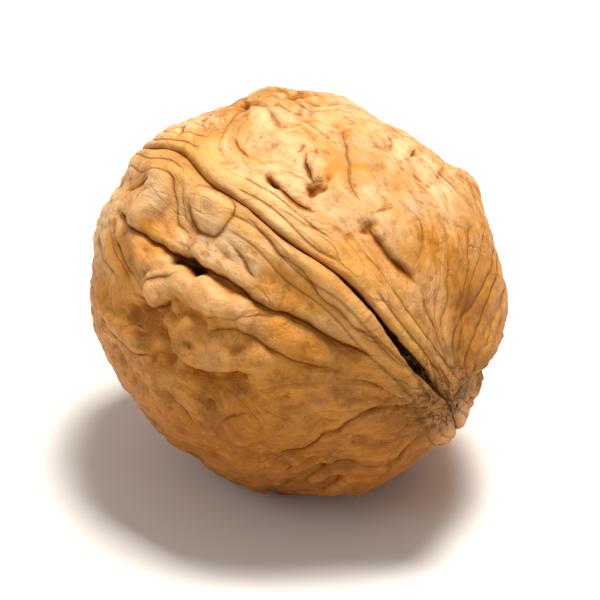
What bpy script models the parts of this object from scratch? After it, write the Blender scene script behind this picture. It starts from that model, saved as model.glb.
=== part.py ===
"""A whole walnut in its shell, lying on its side on a small flat spot.

Metres, +Z up. The nut is shaped in a frame of its own, with x from the stem end to the tip, y out through
the seam on the side that shows and z out through the lower cheek. It is then turned to the way it lies. Its
surface is one smooth body with a relief on it: the band and crack of the seam, lumps, furrows drawn by hand,
and two nets of furrows round plates.
"""

import math

import bmesh
import bpy
import numpy as np
from mathutils import Matrix, Vector

MM = 0.001
SEED = 7

# Size of the smooth body.
LENGTH = 40.2 * MM
WIDTH_AT_SEAM = 34.5 * MM
WIDTH_AT_CHEEKS = 35.8 * MM
SLIMMER_STEM = 0.045  # share by which the stem end is slimmer than the tip end
FULLER_SHOULDERS = 0.012
TIP_PINCH = 0.22  # share by which the ring narrows close to the tip
TIP_PINCH_SPREAD = 0.40  # radians
NIB_LENGTH = 1.9 * MM
NIB_SPREAD = 0.22  # radians
STEM_DIMPLE = 0.7 * MM
STEM_DIMPLE_SPREAD = 0.16  # radians

# How the nut lies: its tip droops, and it is rolled round its length. A thin slice off its bottom makes the
# flat spot, and the relief fades out near it.
TIP_DROOP = math.radians(5)
ROLL = math.radians(124)
REST_SLICE = 0.5 * MM
REST_CALM_REACH = 6 * MM

# The raised band along the seam, and the hollows beside it.
BAND_HEIGHT = 0.8 * MM
BAND_HALF_WIDTH = 2.5 * MM
BAND_BROAD_SIDE = 1.35  # the band is this much wider on its upper side
BAND_LOWER_AT_STEM = 0.5
BAND_CALM = 2.0 * MM  # the nets stay off this much of the band, each way from its middle
FLANK_DEPTH = 0.4 * MM
FLANK_OFFSET = 4.6 * MM
FLANK_HALF_WIDTH = 1.6 * MM

# The crack in the middle of the band. It strays from a straight line in waves, each with its reach, its
# length and its phase, and gapes near the tip on the side that is seen.
CRACK_STRAYS = ((0.4 * MM, 24 * MM, 0.6), (0.2 * MM, 10.3 * MM, 2.0))
CRACK_DEPTH = 0.45 * MM
CRACK_HALF_WIDTH = 0.22 * MM
GAPE_DEPTH = 1.2 * MM
GAPE_HALF_WIDTH = 0.42 * MM
GAPE_END = 0.10  # radians from the tip
GAPE_WIDEST = 0.25
GAPE_TAPER = 0.26

# Fine lines that run beside the crack in stretches: how far from it, and how deep.
SEAM_LINES = ((-2.3 * MM, 0.14 * MM), (-1 * MM, 0.28 * MM), (1.2 * MM, 0.1 * MM), (2.4 * MM, 0.06 * MM))
SEAM_LINE_HALF_WIDTH = 0.25 * MM
SEAM_LINE_STRAY = 0.25 * MM
SEAM_LINE_STRAY_LENGTH = 9 * MM
SEAM_LINE_STRETCH = 14 * MM

# Broad and narrow lumps: height and wavelength.
LUMPS = ((0.24 * MM, 11 * MM), (0.12 * MM, 5.5 * MM))
LUMPS_LOST_ON_BAND = 0.5
LUMPS_LOST_AT_DRAWING = 0.6

# The nets of furrows. Plates stand between the furrows, each up or down by a step, and are longer along the
# nut than around it. Strays are how far a net wanders, and over what length.
PLATE_STRETCH = 1.7
GATHERED_ENDS = 0.55  # below 1, the nets' furrows run together towards the tip and the stem
COARSE_NET = {
    "seed": SEED, "plates": 170, "furrow": 0.50 * MM, "half_width": 0.45 * MM, "pit": 0.45 * MM,
    "step": 0.16 * MM, "strays": ((1.6 * MM, 12 * MM), (0.65 * MM, 4 * MM))}
FINE_NET = {
    "seed": SEED + 40, "plates": 620, "furrow": 0.21 * MM, "half_width": 0.27 * MM, "pit": 0.18 * MM,
    "step": 0.10 * MM, "strays": ((1.2 * MM, 6 * MM), (0.4 * MM, 2.5 * MM))}
SHALLOWEST_DRAW = 0.23  # a furrow whose random draw is under this is missing
DEEPEST_DRAW = 0.90
PIT_PATCHES = 9 * MM
PIT_PATCH_EDGE = 2  # how sharply a pitted patch begins
PIT_PATCH_LIMIT = 0.3
NET_FREE_REACH = 2.7 * MM  # the nets fade out this near to a furrow drawn by hand
COARSE_NET_LOST_AT_DRAWING = 0.92
FINE_NET_LOST_AT_DRAWING = 0.7
FINE_NET_LOST_ON_BAND = 0.7
GAPS_AT_ONCE = 3_000_000  # how many distances are worked out at a time

# The furrows are drawn on the side that is seen from here.
VIEW_AZIMUTH = math.radians(52)
VIEW_ELEVATION = math.radians(28)
DRAWING_SHIFT = (0.9, -0.65)  # millimetres from the nut's middle to the drawing's zero
CREASE_ROUNDING = 0.2 * MM
CREASE_PROFILE = ((0.62, 0.55), (0.38, 2.6))  # a sharp core and wide slopes: shares of depth and half width
LIP_ROUNDING = 0.3 * MM
LIP_REACH = 1.6 * MM

# Nothing that grew has the smooth outline of a drawing: how far a drawn line and a drawn form stray from it,
# over what length.
LINE_STRAYS = ((0.06 * MM, 2.3 * MM),)
FORM_STRAYS = ((0.32 * MM, 3.6 * MM), (0.09 * MM, 1.6 * MM))

GRID = 104  # cells along each side of the cube that the surface starts from
LEAN = 0.1  # the cells are this much denser on the side that is seen
TRIANGLES = 11000

SHELL_TAN = (0.62, 0.36, 0.16, 1)
SHELL_ROUGHNESS = 0.55

# Furrows drawn by hand: depth, half width, height of the lip on the left of the line, and points to the right
# of and above the drawing's zero, all in millimetres.
FURROWS = {
    "long furrow": (0.72, 0.42, 0.42, [
        (-16.7, 7.9), (-15.5, 6.4), (-14.2, 5.5), (-12.7, 4.6), (-11.5, 3.7), (-10.5, 3.2),
        (-9.5, 2.7), (-8.5, 2.4), (-7, 1.6), (-5.4, 0.7), (-4.2, -0.4), (-3, -1), (-1, -1.7),
        (1, -2.7), (3, -4), (6.2, -5)]),
    "boss edge": (0.22, 0.3, 0, [
        (-12.2, 11.4), (-11.5, 10.4), (-11.3, 9.2), (-11.4, 7.9), (-11.3, 6.7), (-10.5, 5.7),
        (-9.5, 4.6)]),
    "boss second edge": (0.19, 0.3, 0, [
        (-11, 10.4), (-10.5, 9.4), (-10.6, 8.2), (-10.4, 6.9), (-9.8, 6), (-8.9, 5.2)]),
    "round boss": (0.28, 0.27, 0, [
        (-9.9, 8.8), (-9.3, 9.4), (-8, 9.4), (-6.8, 8.7), (-5.9, 7.8), (-5.7, 7.1), (-6.4, 6),
        (-7.7, 5.3), (-8.9, 5.6), (-9.8, 6.6), (-10.1, 7.7), (-9.9, 8.8), (-9.3, 9.4)]),
    "band edge": (0.28, 0.34, 0.12, [
        (-5.7, 6.6), (-4.4, 6.2), (-3.3, 5.2), (-2.5, 4.2), (-1.8, 3.4), (-0.6, 2.6), (0.2, 2.1),
        (0.8, 1.1), (2.2, -0.6), (4.2, -2.4), (6.5, -4.2), (8.5, -6.2)]),
    "lens edge": (0.28, 0.3, 0.08, [
        (-16.8, 7.4), (-17.1, 6), (-16.7, 4.5), (-16.1, 3.1), (-15.1, 1.9), (-14.5, 1)]),
    "lens foot": (0.37, 0.34, 0.08, [(-14.5, 1), (-13, 1.5), (-11.3, 1.7), (-10.1, 2.4)]),
    "left line": (0.19, 0.28, 0, [
        (-17.3, 6.9), (-17.4, 5.5), (-17.2, 4.1), (-16.3, 2.6), (-15.5, 1.4), (-14.9, 0.6)]),
    "left second line": (0.19, 0.3, 0, [
        (-18.2, 6.9), (-18.4, 5.1), (-18.1, 3.5), (-17.1, 2), (-16.2, 0.5)]),
    "flake foot": (0.65, 0.38, 0.34, [
        (-15.3, 0.4), (-14.7, 0), (-14, -0.7), (-13.1, -1), (-12, -0.8), (-11.2, -0.2),
        (-10.4, -0.4)]),
    "flake edge": (0.22, 0.3, 0, [
        (-8.9, -2.4), (-8.3, -2), (-6.8, -1.8), (-5.4, -2.1), (-4, -1.8), (-1, -2)]),
    "arc": (0.28, 0.3, 0.12, [
        (-8.5, -3.7), (-7.7, -3.1), (-6.3, -2.7), (-5.2, -2.8), (-4.3, -3.3), (-3, -4.2),
        (-1, -5.2), (1, -6), (3.3, -6.1)]),
    "scale foot": (0.65, 0.47, 0.34, [
        (-10.8, -3.8), (-10.5, -5.2), (-9.7, -6.2), (-8.4, -6.8), (-6.8, -6.8), (-5.4, -6.5),
        (-3.3, -6.8)]),
    "low line": (0.35, 0.32, 0.1, [(-7.3, -10.9), (-6, -10.4), (-5, -9.9), (-3.5, -9.9)]),
    "lowest line": (0.4, 0.34, 0.14, [
        (-11.1, -12.6), (-9.7, -13.3), (-8.4, -14), (-7.3, -14.3), (-5.6, -14.5)]),
    "low side line": (0.3, 0.3, 0.1, [
        (-12.2, -7.4), (-11.3, -8.6), (-10.4, -9.6), (-9.2, -10.9), (-8.2, -11.6)]),
    "low left line": (0.5, 0.38, 0.16, [
        (-15, -6.2), (-14.3, -7.5), (-13.6, -8.6), (-12.5, -10), (-11.4, -11)]),
    "low ledge": (0.5, 0.38, 0.2, [(-17.6, -3), (-16.4, -4.1), (-15, -5), (-13.6, -5.2), (-12.8, -5.8)]),
    "left ledge": (0.31, 0.34, 0.16, [(-18.8, -1), (-18.1, -2.4), (-17.3, -3.5), (-16.3, -4.7)]),
    "upper furrow": (0.55, 0.32, 0.24, [
        (-3.7, 11.1), (-3.2, 10.6), (-2.7, 10.1), (-1.8, 9.1), (-0.8, 8.2), (0.25, 7.4), (1, 6.9),
        (1.9, 6.9)]),
    "upper second furrow": (0.19, 0.28, 0.08, [(-2.5, 7.8), (-1.1, 6.6), (0.4, 5.8), (1.9, 5.3), (3, 5.1)]),
    "pit loop": (0.5, 0.34, 0.2, [
        (-0.3, 12.9), (0.25, 12.3), (0.4, 11.15), (0.7, 10.3), (1.1, 9.6), (1.9, 9.8)]),
    "crown line": (0.22, 0.28, 0, [
        (3.45, 15.2), (3.5, 13.8), (3.9, 12.5), (4, 10.6), (4.2, 9.1), (4.75, 7.9), (5.3, 6.8)]),
    "plate edge": (0.43, 0.3, 0.34, [
        (5.3, 6.6), (5.9, 5.9), (6.2, 5), (6.8, 4), (7.7, 3), (8.5, 2.2), (9.3, 1.4), (10, 0.4)]),
    "plate tail": (0.22, 0.3, 0.08, [(9.6, 1), (10.2, 0), (11, -2), (12.2, -5)]),
    "plate top": (0.22, 0.28, 0, [(5.3, 6.6), (6.8, 6.9), (8.4, 7.4)]),
    "plate right": (0.19, 0.28, 0, [
        (8.4, 7.4), (10, 6.2), (10.3, 4.75), (10, 3.3), (9.4, 2.1), (8.8, 2.1)]),
    "side crease": (0.19, 0.28, 0, [(4.75, 4.5), (5.6, 3), (6.5, 1.8), (8, -0.4)]),
    "notch": (0.37, 0.3, 0, [(9.1, 11.7), (9.7, 12.3), (10, 13)]),
    "faint line": (0.15, 0.28, 0, [(7.4, 10.9), (8.1, 10), (9.1, 9.1), (9.7, 8), (10.4, 6.2)]),
    "fan first": (0.28, 0.3, 0.08, [
        (16.8, 6.6), (17, 4.75), (16.7, 2.6), (15.4, 0), (13.9, -1.8), (13.2, -3.4), (13, -6)]),
    "fan second": (0.22, 0.28, 0, [
        (15.7, 6.2), (15.5, 4), (14.9, 1.8), (14.5, 0.4), (13.8, -3.5), (13.2, -7)]),
    "fan third": (0.22, 0.28, 0.08, [(14.6, 6.2), (14.2, 4.2), (14.35, 1.8), (13.9, -0.3), (13.5, -2.2)]),
    "fan fourth": (0.19, 0.28, 0, [(12.75, 4), (12.5, 1.8), (12.6, -0.3), (12, -2.5), (12.6, -6)]),
    "fan outer": (0.28, 0.3, 0.08, [
        (17.55, 5.5), (17.55, 3.3), (16.7, 1), (16, -1.1), (14.2, -5), (13.6, -8)]),
    "crown notch": (0.28, 0.3, 0.08, [(-6.9, 14.8), (-5.9, 13.8), (-5.4, 12.7), (-4.3, 11.8)]),
}

# Hollows: depth, half width, and points, in millimetres.
HOLLOWS = {
    "deep hole": (2.2, 0.8, [(-11.6, 3.3), (-10.7, 2.8), (-9.8, 2.3)]),
    "basin": (1.2, 1.3, [(-15.3, -1.5), (-13.6, -2.1), (-12.6, -3.2), (-12.4, -4.8)]),
    "second basin": (0.4, 0.6, [(-11.4, -1.3), (-9.9, -1.5), (-8.6, -2.4)]),
    "scale shade": (0.5, 0.7, [(-9.4, -7), (-7.4, -7.3), (-4.6, -7.2)]),
    "left gap": (0.6, 1.1, [(-18.4, -4), (-16.8, -5.6), (-15.2, -7.6)]),
    "low hollow": (0.5, 0.9, [(-8, -7.9), (-6.3, -8.3), (-4.2, -8)]),
    "furrow pit": (0.9, 0.5, [(-3.1, 10.4), (-2.7, 10.1)]),
    "loop pit": (1.05, 0.5, [(1.05, 9.9), (1.25, 9.7)]),
    "upper pit": (0.38, 0.4, [(-0.05, 12.9), (0.1, 12.5)]),
    "small pit": (0.3, 0.4, [(2.1, 12.1), (2.2, 11.7)]),
    "crown pit": (0.22, 0.4, [(2.4, 15.2), (2.6, 15)]),
    "low pit": (0.75, 0.45, [(-8.2, -9.5), (-7.7, -9.7)]),
    "head shade": (0.5, 0.6, [(-14.6, -0.9), (-13.4, -1.2), (-12.6, -1.1)]),
    "side nick": (0.5, 0.5, [(-15.9, -3.9), (-15.4, -4.6)]),
    "under furrow": (0.4, 1.1, [(-9, 1.9), (-7, 1), (-5, -0.4)]),
    "plate corner": (0.5, 0.5, [(5.5, 6.1), (5.7, 5.5)]),
}

# Ridges: height, half width, and points, in millimetres.
RIDGES = {
    "flake ridge": (0.7, 1.1, [(-13.4, 0.2), (-11.6, 0.7), (-9.4, 0.5), (-7, -0.7), (-5, -1.5)]),
    "scale ridge": (0.6, 1.2, [(-9.9, -4.3), (-8.3, -4.9), (-5.8, -5.2), (-3, -5.6)]),
    "lens ridge": (0.45, 1.3, [(-16.2, 6.2), (-14.9, 4.3), (-13.1, 2.9), (-12, 2.5)]),
    "left ridge": (0.4, 0.9, [(-18.2, -0.9), (-16.8, -3), (-14.9, -4.3), (-13.2, -6.4), (-12.5, -9.2)]),
}

# Bosses: height, radius and middle, in millimetres.
BOSSES = {
    "first boss": (0.75, 2.7, (-13.6, 9)),
    "round boss": (0.36, 1.7, (-7.9, 7.4)),
    "flake head": (0.3, 1.2, (-13.2, 0.2)),
    "knob": (0.45, 0.8, (-10.1, -2.5)),
    "plate": (0.3, 2.1, (8, 4.8)),
}

HALF_SIZES = np.array([LENGTH, WIDTH_AT_SEAM, WIDTH_AT_CHEEKS]) / 2


def clear_scene():
    for old in list(bpy.data.objects):
        bpy.data.objects.remove(old)


def unit(vectors):
    return vectors / np.linalg.norm(vectors, axis=1)[:, None]


def smooth_field(points, wavelength, seed, waves=28):
    """A random field of about unit size, smooth at one wavelength: the sum of waves in random directions."""
    draw = np.random.RandomState(seed)
    toward = unit(draw.normal(size=(waves, 3))) * draw.uniform(0.75, 1.3, waves)[:, None]
    phase = draw.uniform(0, 2 * math.pi, waves)
    turns = points @ toward.T * (2 * math.pi / wavelength) + phase
    return np.sin(turns).sum(1) * math.sqrt(2 / waves)


def smooth_vectors(points, wavelength, seed):
    return np.stack([smooth_field(points, wavelength, seed + axis) for axis in range(3)], 1)


def resting_turn():
    """Turns the nut's own frame to the way it lies."""
    return np.array(Matrix.Rotation(TIP_DROOP, 3, "Y") @ Matrix.Rotation(ROLL, 3, "X"))


def viewing_axes():
    """Right, up and towards the viewer, in the nut's own frame."""
    right = Vector((math.cos(VIEW_AZIMUTH), math.sin(VIEW_AZIMUTH), 0))
    back = Vector((math.sin(VIEW_AZIMUTH), -math.cos(VIEW_AZIMUTH), 0))
    toward = back * math.cos(VIEW_ELEVATION) + Vector((0, 0, math.sin(VIEW_ELEVATION)))
    return [np.array(axis) @ resting_turn() for axis in (right, toward.cross(right), toward)]


def ball_mesh(cells):
    """A ball of quads, from a cube with this many cells along each side, and its unit directions."""
    shape = bmesh.new()
    bmesh.ops.create_cube(shape, size=2)
    bmesh.ops.subdivide_edges(shape, edges=shape.edges[:], cuts=cells - 1, use_grid_fill=True)
    mesh = bpy.data.meshes.new("walnut")
    shape.to_mesh(mesh)
    shape.free()
    corners = np.empty(len(mesh.vertices) * 3)
    mesh.vertices.foreach_get("co", corners)
    even = unit(np.tan(corners.reshape(-1, 3) * math.pi / 4))
    return mesh, unit(even + LEAN * viewing_axes()[2])


def angle_from_tip(directions):
    return np.arccos(np.clip(directions[:, 0], -1, 1))


def smooth_body(directions):
    """The nut under its relief: a point and an outward normal for each direction."""
    angle = angle_from_tip(directions)
    ring = 1 + SLIMMER_STEM * directions[:, 0] + FULLER_SHOULDERS * np.sin(2 * angle) ** 2
    ring -= TIP_PINCH * np.exp(-((angle / TIP_PINCH_SPREAD) ** 2))
    points = directions * HALF_SIZES
    points[:, 1:] *= ring[:, None]
    points[:, 0] += NIB_LENGTH * np.exp(-angle / NIB_SPREAD)
    points[:, 0] += STEM_DIMPLE * np.exp(-(((math.pi - angle) / STEM_DIMPLE_SPREAD) ** 2))
    return points, unit(directions / HALF_SIZES)


def smooth_line(points, spacing=0.5):
    """A Catmull-Rom curve through the points of a drawing."""
    points = np.array(points, float)
    ends = np.vstack([2 * points[0] - points[1], points, 2 * points[-1] - points[-2]])
    pieces = []
    for before, start, end, after in zip(ends, ends[1:], ends[2:], ends[3:]):
        steps = max(2, int(np.linalg.norm(end - start) / spacing))
        t = np.linspace(0, 1, steps, endpoint=False)[:, None]
        bend = 2 * before - 5 * start + 4 * end - after
        twist = 3 * start - before - 3 * end + after
        pieces.append(start + 0.5 * ((end - before) * t + bend * t**2 + twist * t**3))
    return np.vstack([*pieces, points[-1:]])


def on_the_nut(drawing):
    """Puts points of the drawing on the side of the nut that is seen."""
    right, up, toward = viewing_axes()
    flat = (np.array(drawing, float) + DRAWING_SHIFT) * MM
    start = (flat[:, :1] * right + flat[:, 1:] * up) / HALF_SIZES
    step = toward / HALF_SIZES
    along = start @ step
    inside = np.maximum(along**2 - (step @ step) * ((start**2).sum(1) - 1), 0)
    reach = (np.sqrt(inside) - along) / (step @ step)
    return smooth_body(unit(start + reach[:, None] * step))[0]


def measure_line(points, line, reach=5 * MM, fade=2.5 * MM):
    """How far each point is from a line, how far to its left, and the line's strength, faded at its ends."""
    far = np.ones(len(points))
    left = np.zeros(len(points))
    strength = np.zeros(len(points))
    near = np.where(((points > line.min(0) - reach) & (points < line.max(0) + reach)).all(1))[0]
    pieces = line[1:] - line[:-1]
    lengths = np.linalg.norm(pieces, axis=1)
    start = np.concatenate([[0], np.cumsum(lengths)])
    fade = min(fade, start[-1] / 2)
    for part in np.array_split(near, 1 + len(near) * len(pieces) // GAPS_AT_ONCE):
        offset = points[part][:, None, :] - line[None, :-1]
        share = np.clip((offset * pieces).sum(2) / lengths**2, 0, 1)
        offset -= share[..., None] * pieces
        gaps = np.linalg.norm(offset, axis=2)
        best = gaps.argmin(1)
        rows = np.arange(len(part))
        along = start[best] + share[rows, best] * lengths[best]
        ends = np.clip(np.minimum(along, start[-1] - along) / fade, 0, 1)
        far[part] = gaps[rows, best]
        strength[part] = ends * ends * (3 - 2 * ends)
        across = unit(np.cross(unit(points[part]), pieces[best]))
        left[part] = (across * offset[rows, best]).sum(1)
    return far, left, strength


def crease(far, half_width):
    """A sharp valley with a rounded bottom: 1 on its line, fading to 0."""
    return np.exp((CREASE_ROUNDING - np.hypot(far, CREASE_ROUNDING)) / half_width)


def strayed(points, strays, seed):
    pushes = [far * smooth_vectors(points, length, seed + 3 * k) for k, (far, length) in enumerate(strays)]
    return points + sum(pushes)


def drawn_relief(points):
    """The furrows, hollows, ridges and bosses drawn by hand, and how near each point is to one of them."""
    height = np.zeros(len(points))
    nearest = np.ones(len(points))
    by_line = strayed(points, LINE_STRAYS, SEED + 60)
    by_form = strayed(points, FORM_STRAYS, SEED + 70)
    for depth, half_width, lip, drawing in FURROWS.values():
        far, left, strength = measure_line(by_line, on_the_nut(smooth_line(drawing)))
        cut = sum(share * crease(far, wide * half_width * MM) for share, wide in CREASE_PROFILE)
        ledge = np.tanh(left / LIP_ROUNDING) * np.exp(-far / LIP_REACH)
        height += (lip * ledge - depth * cut) * strength * MM
        nearest = np.minimum(nearest, far)
    for depth, half_width, drawing in HOLLOWS.values():
        far = measure_line(by_form, on_the_nut(smooth_line(drawing)))[0]
        height -= depth * MM * np.exp(-((far / (half_width * MM)) ** 2))
        nearest = np.minimum(nearest, far)
    for rise, half_width, drawing in RIDGES.values():
        far = measure_line(by_form, on_the_nut(smooth_line(drawing)))[0]
        height += rise * MM * np.exp(-((far / (half_width * MM)) ** 3))
        nearest = np.minimum(nearest, far)
    for rise, radius, middle in BOSSES.values():
        far = np.linalg.norm(by_form - on_the_nut([middle]), axis=1)
        height += rise * MM * np.exp(-((far / (radius * MM)) ** 3))
    return height, np.exp(-((nearest / NET_FREE_REACH) ** 2))


def off_the_crack(points):
    """How far each point is from the crack, towards the lower cheek."""
    turns = [(far, points[:, 0] * 2 * math.pi / length + phase) for far, length, phase in CRACK_STRAYS]
    return points[:, 2] - sum(far * np.sin(turn) for far, turn in turns)


def crack_relief(points, directions, off):
    angle = angle_from_tip(directions)
    gape = np.clip((angle - GAPE_END) / (GAPE_WIDEST - GAPE_END), 0, 1)
    gape *= np.exp(-np.maximum(angle - GAPE_WIDEST, 0) / GAPE_TAPER) * (directions[:, 1] > 0)
    half_width = CRACK_HALF_WIDTH / 2 + GAPE_HALF_WIDTH * gape
    cut = CRACK_DEPTH * crease(off, CRACK_HALF_WIDTH)
    cut += GAPE_DEPTH * np.sqrt(gape) * np.exp(-((off / half_width) ** 2))
    stretches = np.clip(0.5 + smooth_field(points, SEAM_LINE_STRETCH, SEED + 30), 0, 1)
    stray = SEAM_LINE_STRAY * smooth_field(points, SEAM_LINE_STRAY_LENGTH, SEED + 31)
    for beside, depth in SEAM_LINES:
        cut += depth * stretches * crease(off - beside - stray, SEAM_LINE_HALF_WIDTH)
    return -cut


def band_relief(directions, off):
    half_width = BAND_HALF_WIDTH * np.where(off > 0, 1, BAND_BROAD_SIDE)
    height = BAND_HEIGHT * (1 - BAND_LOWER_AT_STEM * (1 - directions[:, 0]) / 2)
    flank = np.exp(-(((np.abs(off) - FLANK_OFFSET) / FLANK_HALF_WIDTH) ** 2)) * (1 - directions[:, 0] ** 2)
    return height * np.exp(-(np.abs(off / half_width) ** 3)) - FLANK_DEPTH * flank


def lump_relief(points):
    return sum(height * smooth_field(points, length, SEED + k) for k, (height, length) in enumerate(LUMPS))


def pattern_place(points, directions):
    """Where a net is laid out: along the nut, squeezed, and round it, so that it gathers at both ends."""
    along = (math.pi / 2 - angle_from_tip(directions)) * LENGTH / 2 / PLATE_STRETCH
    ring = np.linalg.norm(directions[:, 1:], axis=1) + 1e-9
    round_it = directions[:, 1:] / ring[:, None] * (WIDTH_AT_CHEEKS / 2 * ring**GATHERED_ENDS)[:, None]
    return np.column_stack([along, round_it])


def nearest_plates(place, plates, count):
    """The nearest plates to each point, nearest first, and how much further each is than the first."""
    gaps = np.linalg.norm(place[:, None, :] - plates[None], axis=2)
    order = np.argpartition(gaps, count, axis=1)[:, :count]
    gaps = np.take_along_axis(gaps, order, 1)
    nearest_first = np.argsort(gaps, axis=1)
    order = np.take_along_axis(order, nearest_first, 1)
    gaps = np.take_along_axis(gaps, nearest_first, 1)
    return order, gaps - gaps[:, :1]


def net_relief(points, directions, net, corners=4):
    """Furrows where two plates meet, pits where three meet, and plates that stand at different heights."""
    place = pattern_place(points, directions)
    for turn, (far, length) in enumerate(net["strays"], 1):
        place = place + far * smooth_vectors(place, length, net["seed"] + 3 * turn)
    draw = np.random.RandomState(net["seed"])
    middles = unit(draw.normal(size=(net["plates"], 3)))
    plates = pattern_place(smooth_body(middles)[0], middles)
    draws = draw.uniform(0, 1, (net["plates"], net["plates"]))
    draws = np.maximum(draws, draws.T) ** 2
    depths = np.clip((draws - SHALLOWEST_DRAW) / (DEEPEST_DRAW - SHALLOWEST_DRAW), 0, 1)
    steps = draw.uniform(-1, 1, net["plates"])
    patches = smooth_field(points, PIT_PATCHES, net["seed"] + 9)
    pitted = np.clip(PIT_PATCH_EDGE * (patches - PIT_PATCH_LIMIT), 0, 1)
    height = np.zeros(len(points))
    half_width = net["half_width"]
    for part in np.array_split(np.arange(len(points)), 1 + len(points) * len(plates) // GAPS_AT_ONCE):
        order, gaps = nearest_plates(place[part], plates, corners)
        furrow = np.zeros(len(part))
        for first in range(corners):
            for second in range(first + 1, corners):
                depth = depths[order[:, first], order[:, second]]
                furrow = np.maximum(furrow, depth * crease(gaps[:, second] / 2, half_width / 2))
        pit = np.exp(-((gaps[:, 2] / half_width) ** 1.5)) * pitted[part]
        share = np.exp(-gaps / half_width)
        step = (share * steps[order]).sum(1) / share.sum(1)
        height[part] = net["step"] * step - net["furrow"] * furrow - net["pit"] * pit
    return height


def calm_round_the_flat_spot(points):
    """0 at the lowest point of the body as it lies, 1 away from it."""
    down = -resting_turn()[2]
    lowest = points[np.argmax(points @ down)]
    far = np.linalg.norm(points - lowest, axis=1)
    return 1 - np.exp(-((far / REST_CALM_REACH) ** 4))


def nut_surface(directions):
    """The finished surface in the nut's own frame."""
    points, normals = smooth_body(directions)
    off = off_the_crack(points)
    drawn, drawn_here = drawn_relief(points)
    on_band = np.exp(-((off / BAND_CALM) ** 4))
    coarse_share = (1 - on_band) * (1 - COARSE_NET_LOST_AT_DRAWING * drawn_here)
    fine_share = (1 - FINE_NET_LOST_ON_BAND * on_band) * (1 - FINE_NET_LOST_AT_DRAWING * drawn_here)
    lump_share = (1 - LUMPS_LOST_ON_BAND * on_band) * (1 - LUMPS_LOST_AT_DRAWING * drawn_here)
    relief = drawn + crack_relief(points, directions, off) + band_relief(directions, off)
    relief += net_relief(points, directions, COARSE_NET) * coarse_share
    relief += net_relief(points, directions, FINE_NET) * fine_share
    relief += lump_relief(points) * lump_share
    relief *= calm_round_the_flat_spot(points)
    return points + normals * relief[:, None]


def walnut_surface(directions):
    """The surface as it lies, with its flat spot's plane at height 0."""
    surface = nut_surface(directions) @ resting_turn().T
    middle = (surface.min(0) + surface.max(0)) / 2
    return surface - [middle[0], middle[1], surface[:, 2].min() + REST_SLICE]


def shell_material():
    material = bpy.data.materials.new("shell")
    material.use_nodes = True
    finish = material.node_tree.nodes["Principled BSDF"]
    finish.inputs["Base Color"].default_value = SHELL_TAN
    finish.inputs["Roughness"].default_value = SHELL_ROUGHNESS
    finish.inputs["Metallic"].default_value = 0
    return material


def floor_cutter():
    """A block under the nut, which slices the flat spot."""
    bpy.ops.mesh.primitive_cube_add(size=LENGTH, location=(0, 0, -LENGTH / 2))
    cutter = bpy.context.object
    cutter.name = "floor_cutter"
    cutter.hide_render = True
    cutter.display_type = "WIRE"
    return cutter


def walnut():
    mesh, directions = ball_mesh(GRID)
    surface = walnut_surface(directions)
    mesh.vertices.foreach_set("co", surface.astype(np.float32).ravel())
    mesh.shade_smooth()
    mesh.materials.append(shell_material())
    nut = bpy.data.objects.new("walnut", mesh)
    bpy.context.scene.collection.objects.link(nut)
    soften = nut.modifiers.new("soften", "SMOOTH")
    soften.factor = 0.5
    soften.iterations = 1
    fewer = nut.modifiers.new("fewer_faces", "DECIMATE")
    fewer.ratio = TRIANGLES / (2 * len(mesh.polygons))
    flat_spot = nut.modifiers.new("flat_spot", "BOOLEAN")
    flat_spot.operation = "DIFFERENCE"
    flat_spot.object = floor_cutter()


clear_scene()
walnut()
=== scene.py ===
# %% [markdown]
# # A walnut in its shell
#
# The real thing is one woody shell, about 42 mm long. Two halves are grown together along a raised seam, and
# the shell is wrapped in furrows, plates and fine lines that run from the stem end to a pointed tip. The
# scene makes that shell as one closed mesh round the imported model, with three kinds of detail, each made
# where it is best:
#
# - forms that are wider than half a millimetre are moves of the mesh's points, worked out with numpy;
# - wrinkles and pores are a Geometry Nodes tree that moves the points again, and so are the tip's fibres;
# - lines and stains that are finer than the mesh are in the material, drawn from values stored on the mesh.
#
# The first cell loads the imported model. It is the frame that everything is measured against.

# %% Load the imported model
import math

import bmesh
import bpy
import numpy as np
from mathutils import Matrix, Vector


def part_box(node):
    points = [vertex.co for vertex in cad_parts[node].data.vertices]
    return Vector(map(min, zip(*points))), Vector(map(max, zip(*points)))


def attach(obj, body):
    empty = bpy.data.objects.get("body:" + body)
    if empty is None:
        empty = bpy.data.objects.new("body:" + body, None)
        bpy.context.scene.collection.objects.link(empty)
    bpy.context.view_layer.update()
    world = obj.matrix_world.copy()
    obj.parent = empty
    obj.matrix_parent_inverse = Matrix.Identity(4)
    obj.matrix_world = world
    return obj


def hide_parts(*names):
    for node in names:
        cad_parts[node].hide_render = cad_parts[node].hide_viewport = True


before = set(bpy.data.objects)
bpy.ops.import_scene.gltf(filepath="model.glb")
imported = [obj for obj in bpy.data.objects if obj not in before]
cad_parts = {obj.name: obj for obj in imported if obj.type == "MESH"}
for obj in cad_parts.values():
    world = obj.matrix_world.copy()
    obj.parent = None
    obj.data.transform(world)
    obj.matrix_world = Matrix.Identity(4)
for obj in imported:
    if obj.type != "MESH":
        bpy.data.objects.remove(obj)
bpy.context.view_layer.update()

shell_low, shell_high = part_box("walnut")
MM = 0.001
print("frame:", sorted(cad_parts), "box in mm", [round(side / MM, 2) for side in shell_high - shell_low])

# %% [markdown]
# ## The camera
#
# The photo looks down on the nut from about 28 degrees, with its tip turned towards the lower right. A short
# lens close by would swell the near side, so a long lens stands well back. The camera is made first, because
# the furrows that show are drawn as this view sees them.

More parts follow.
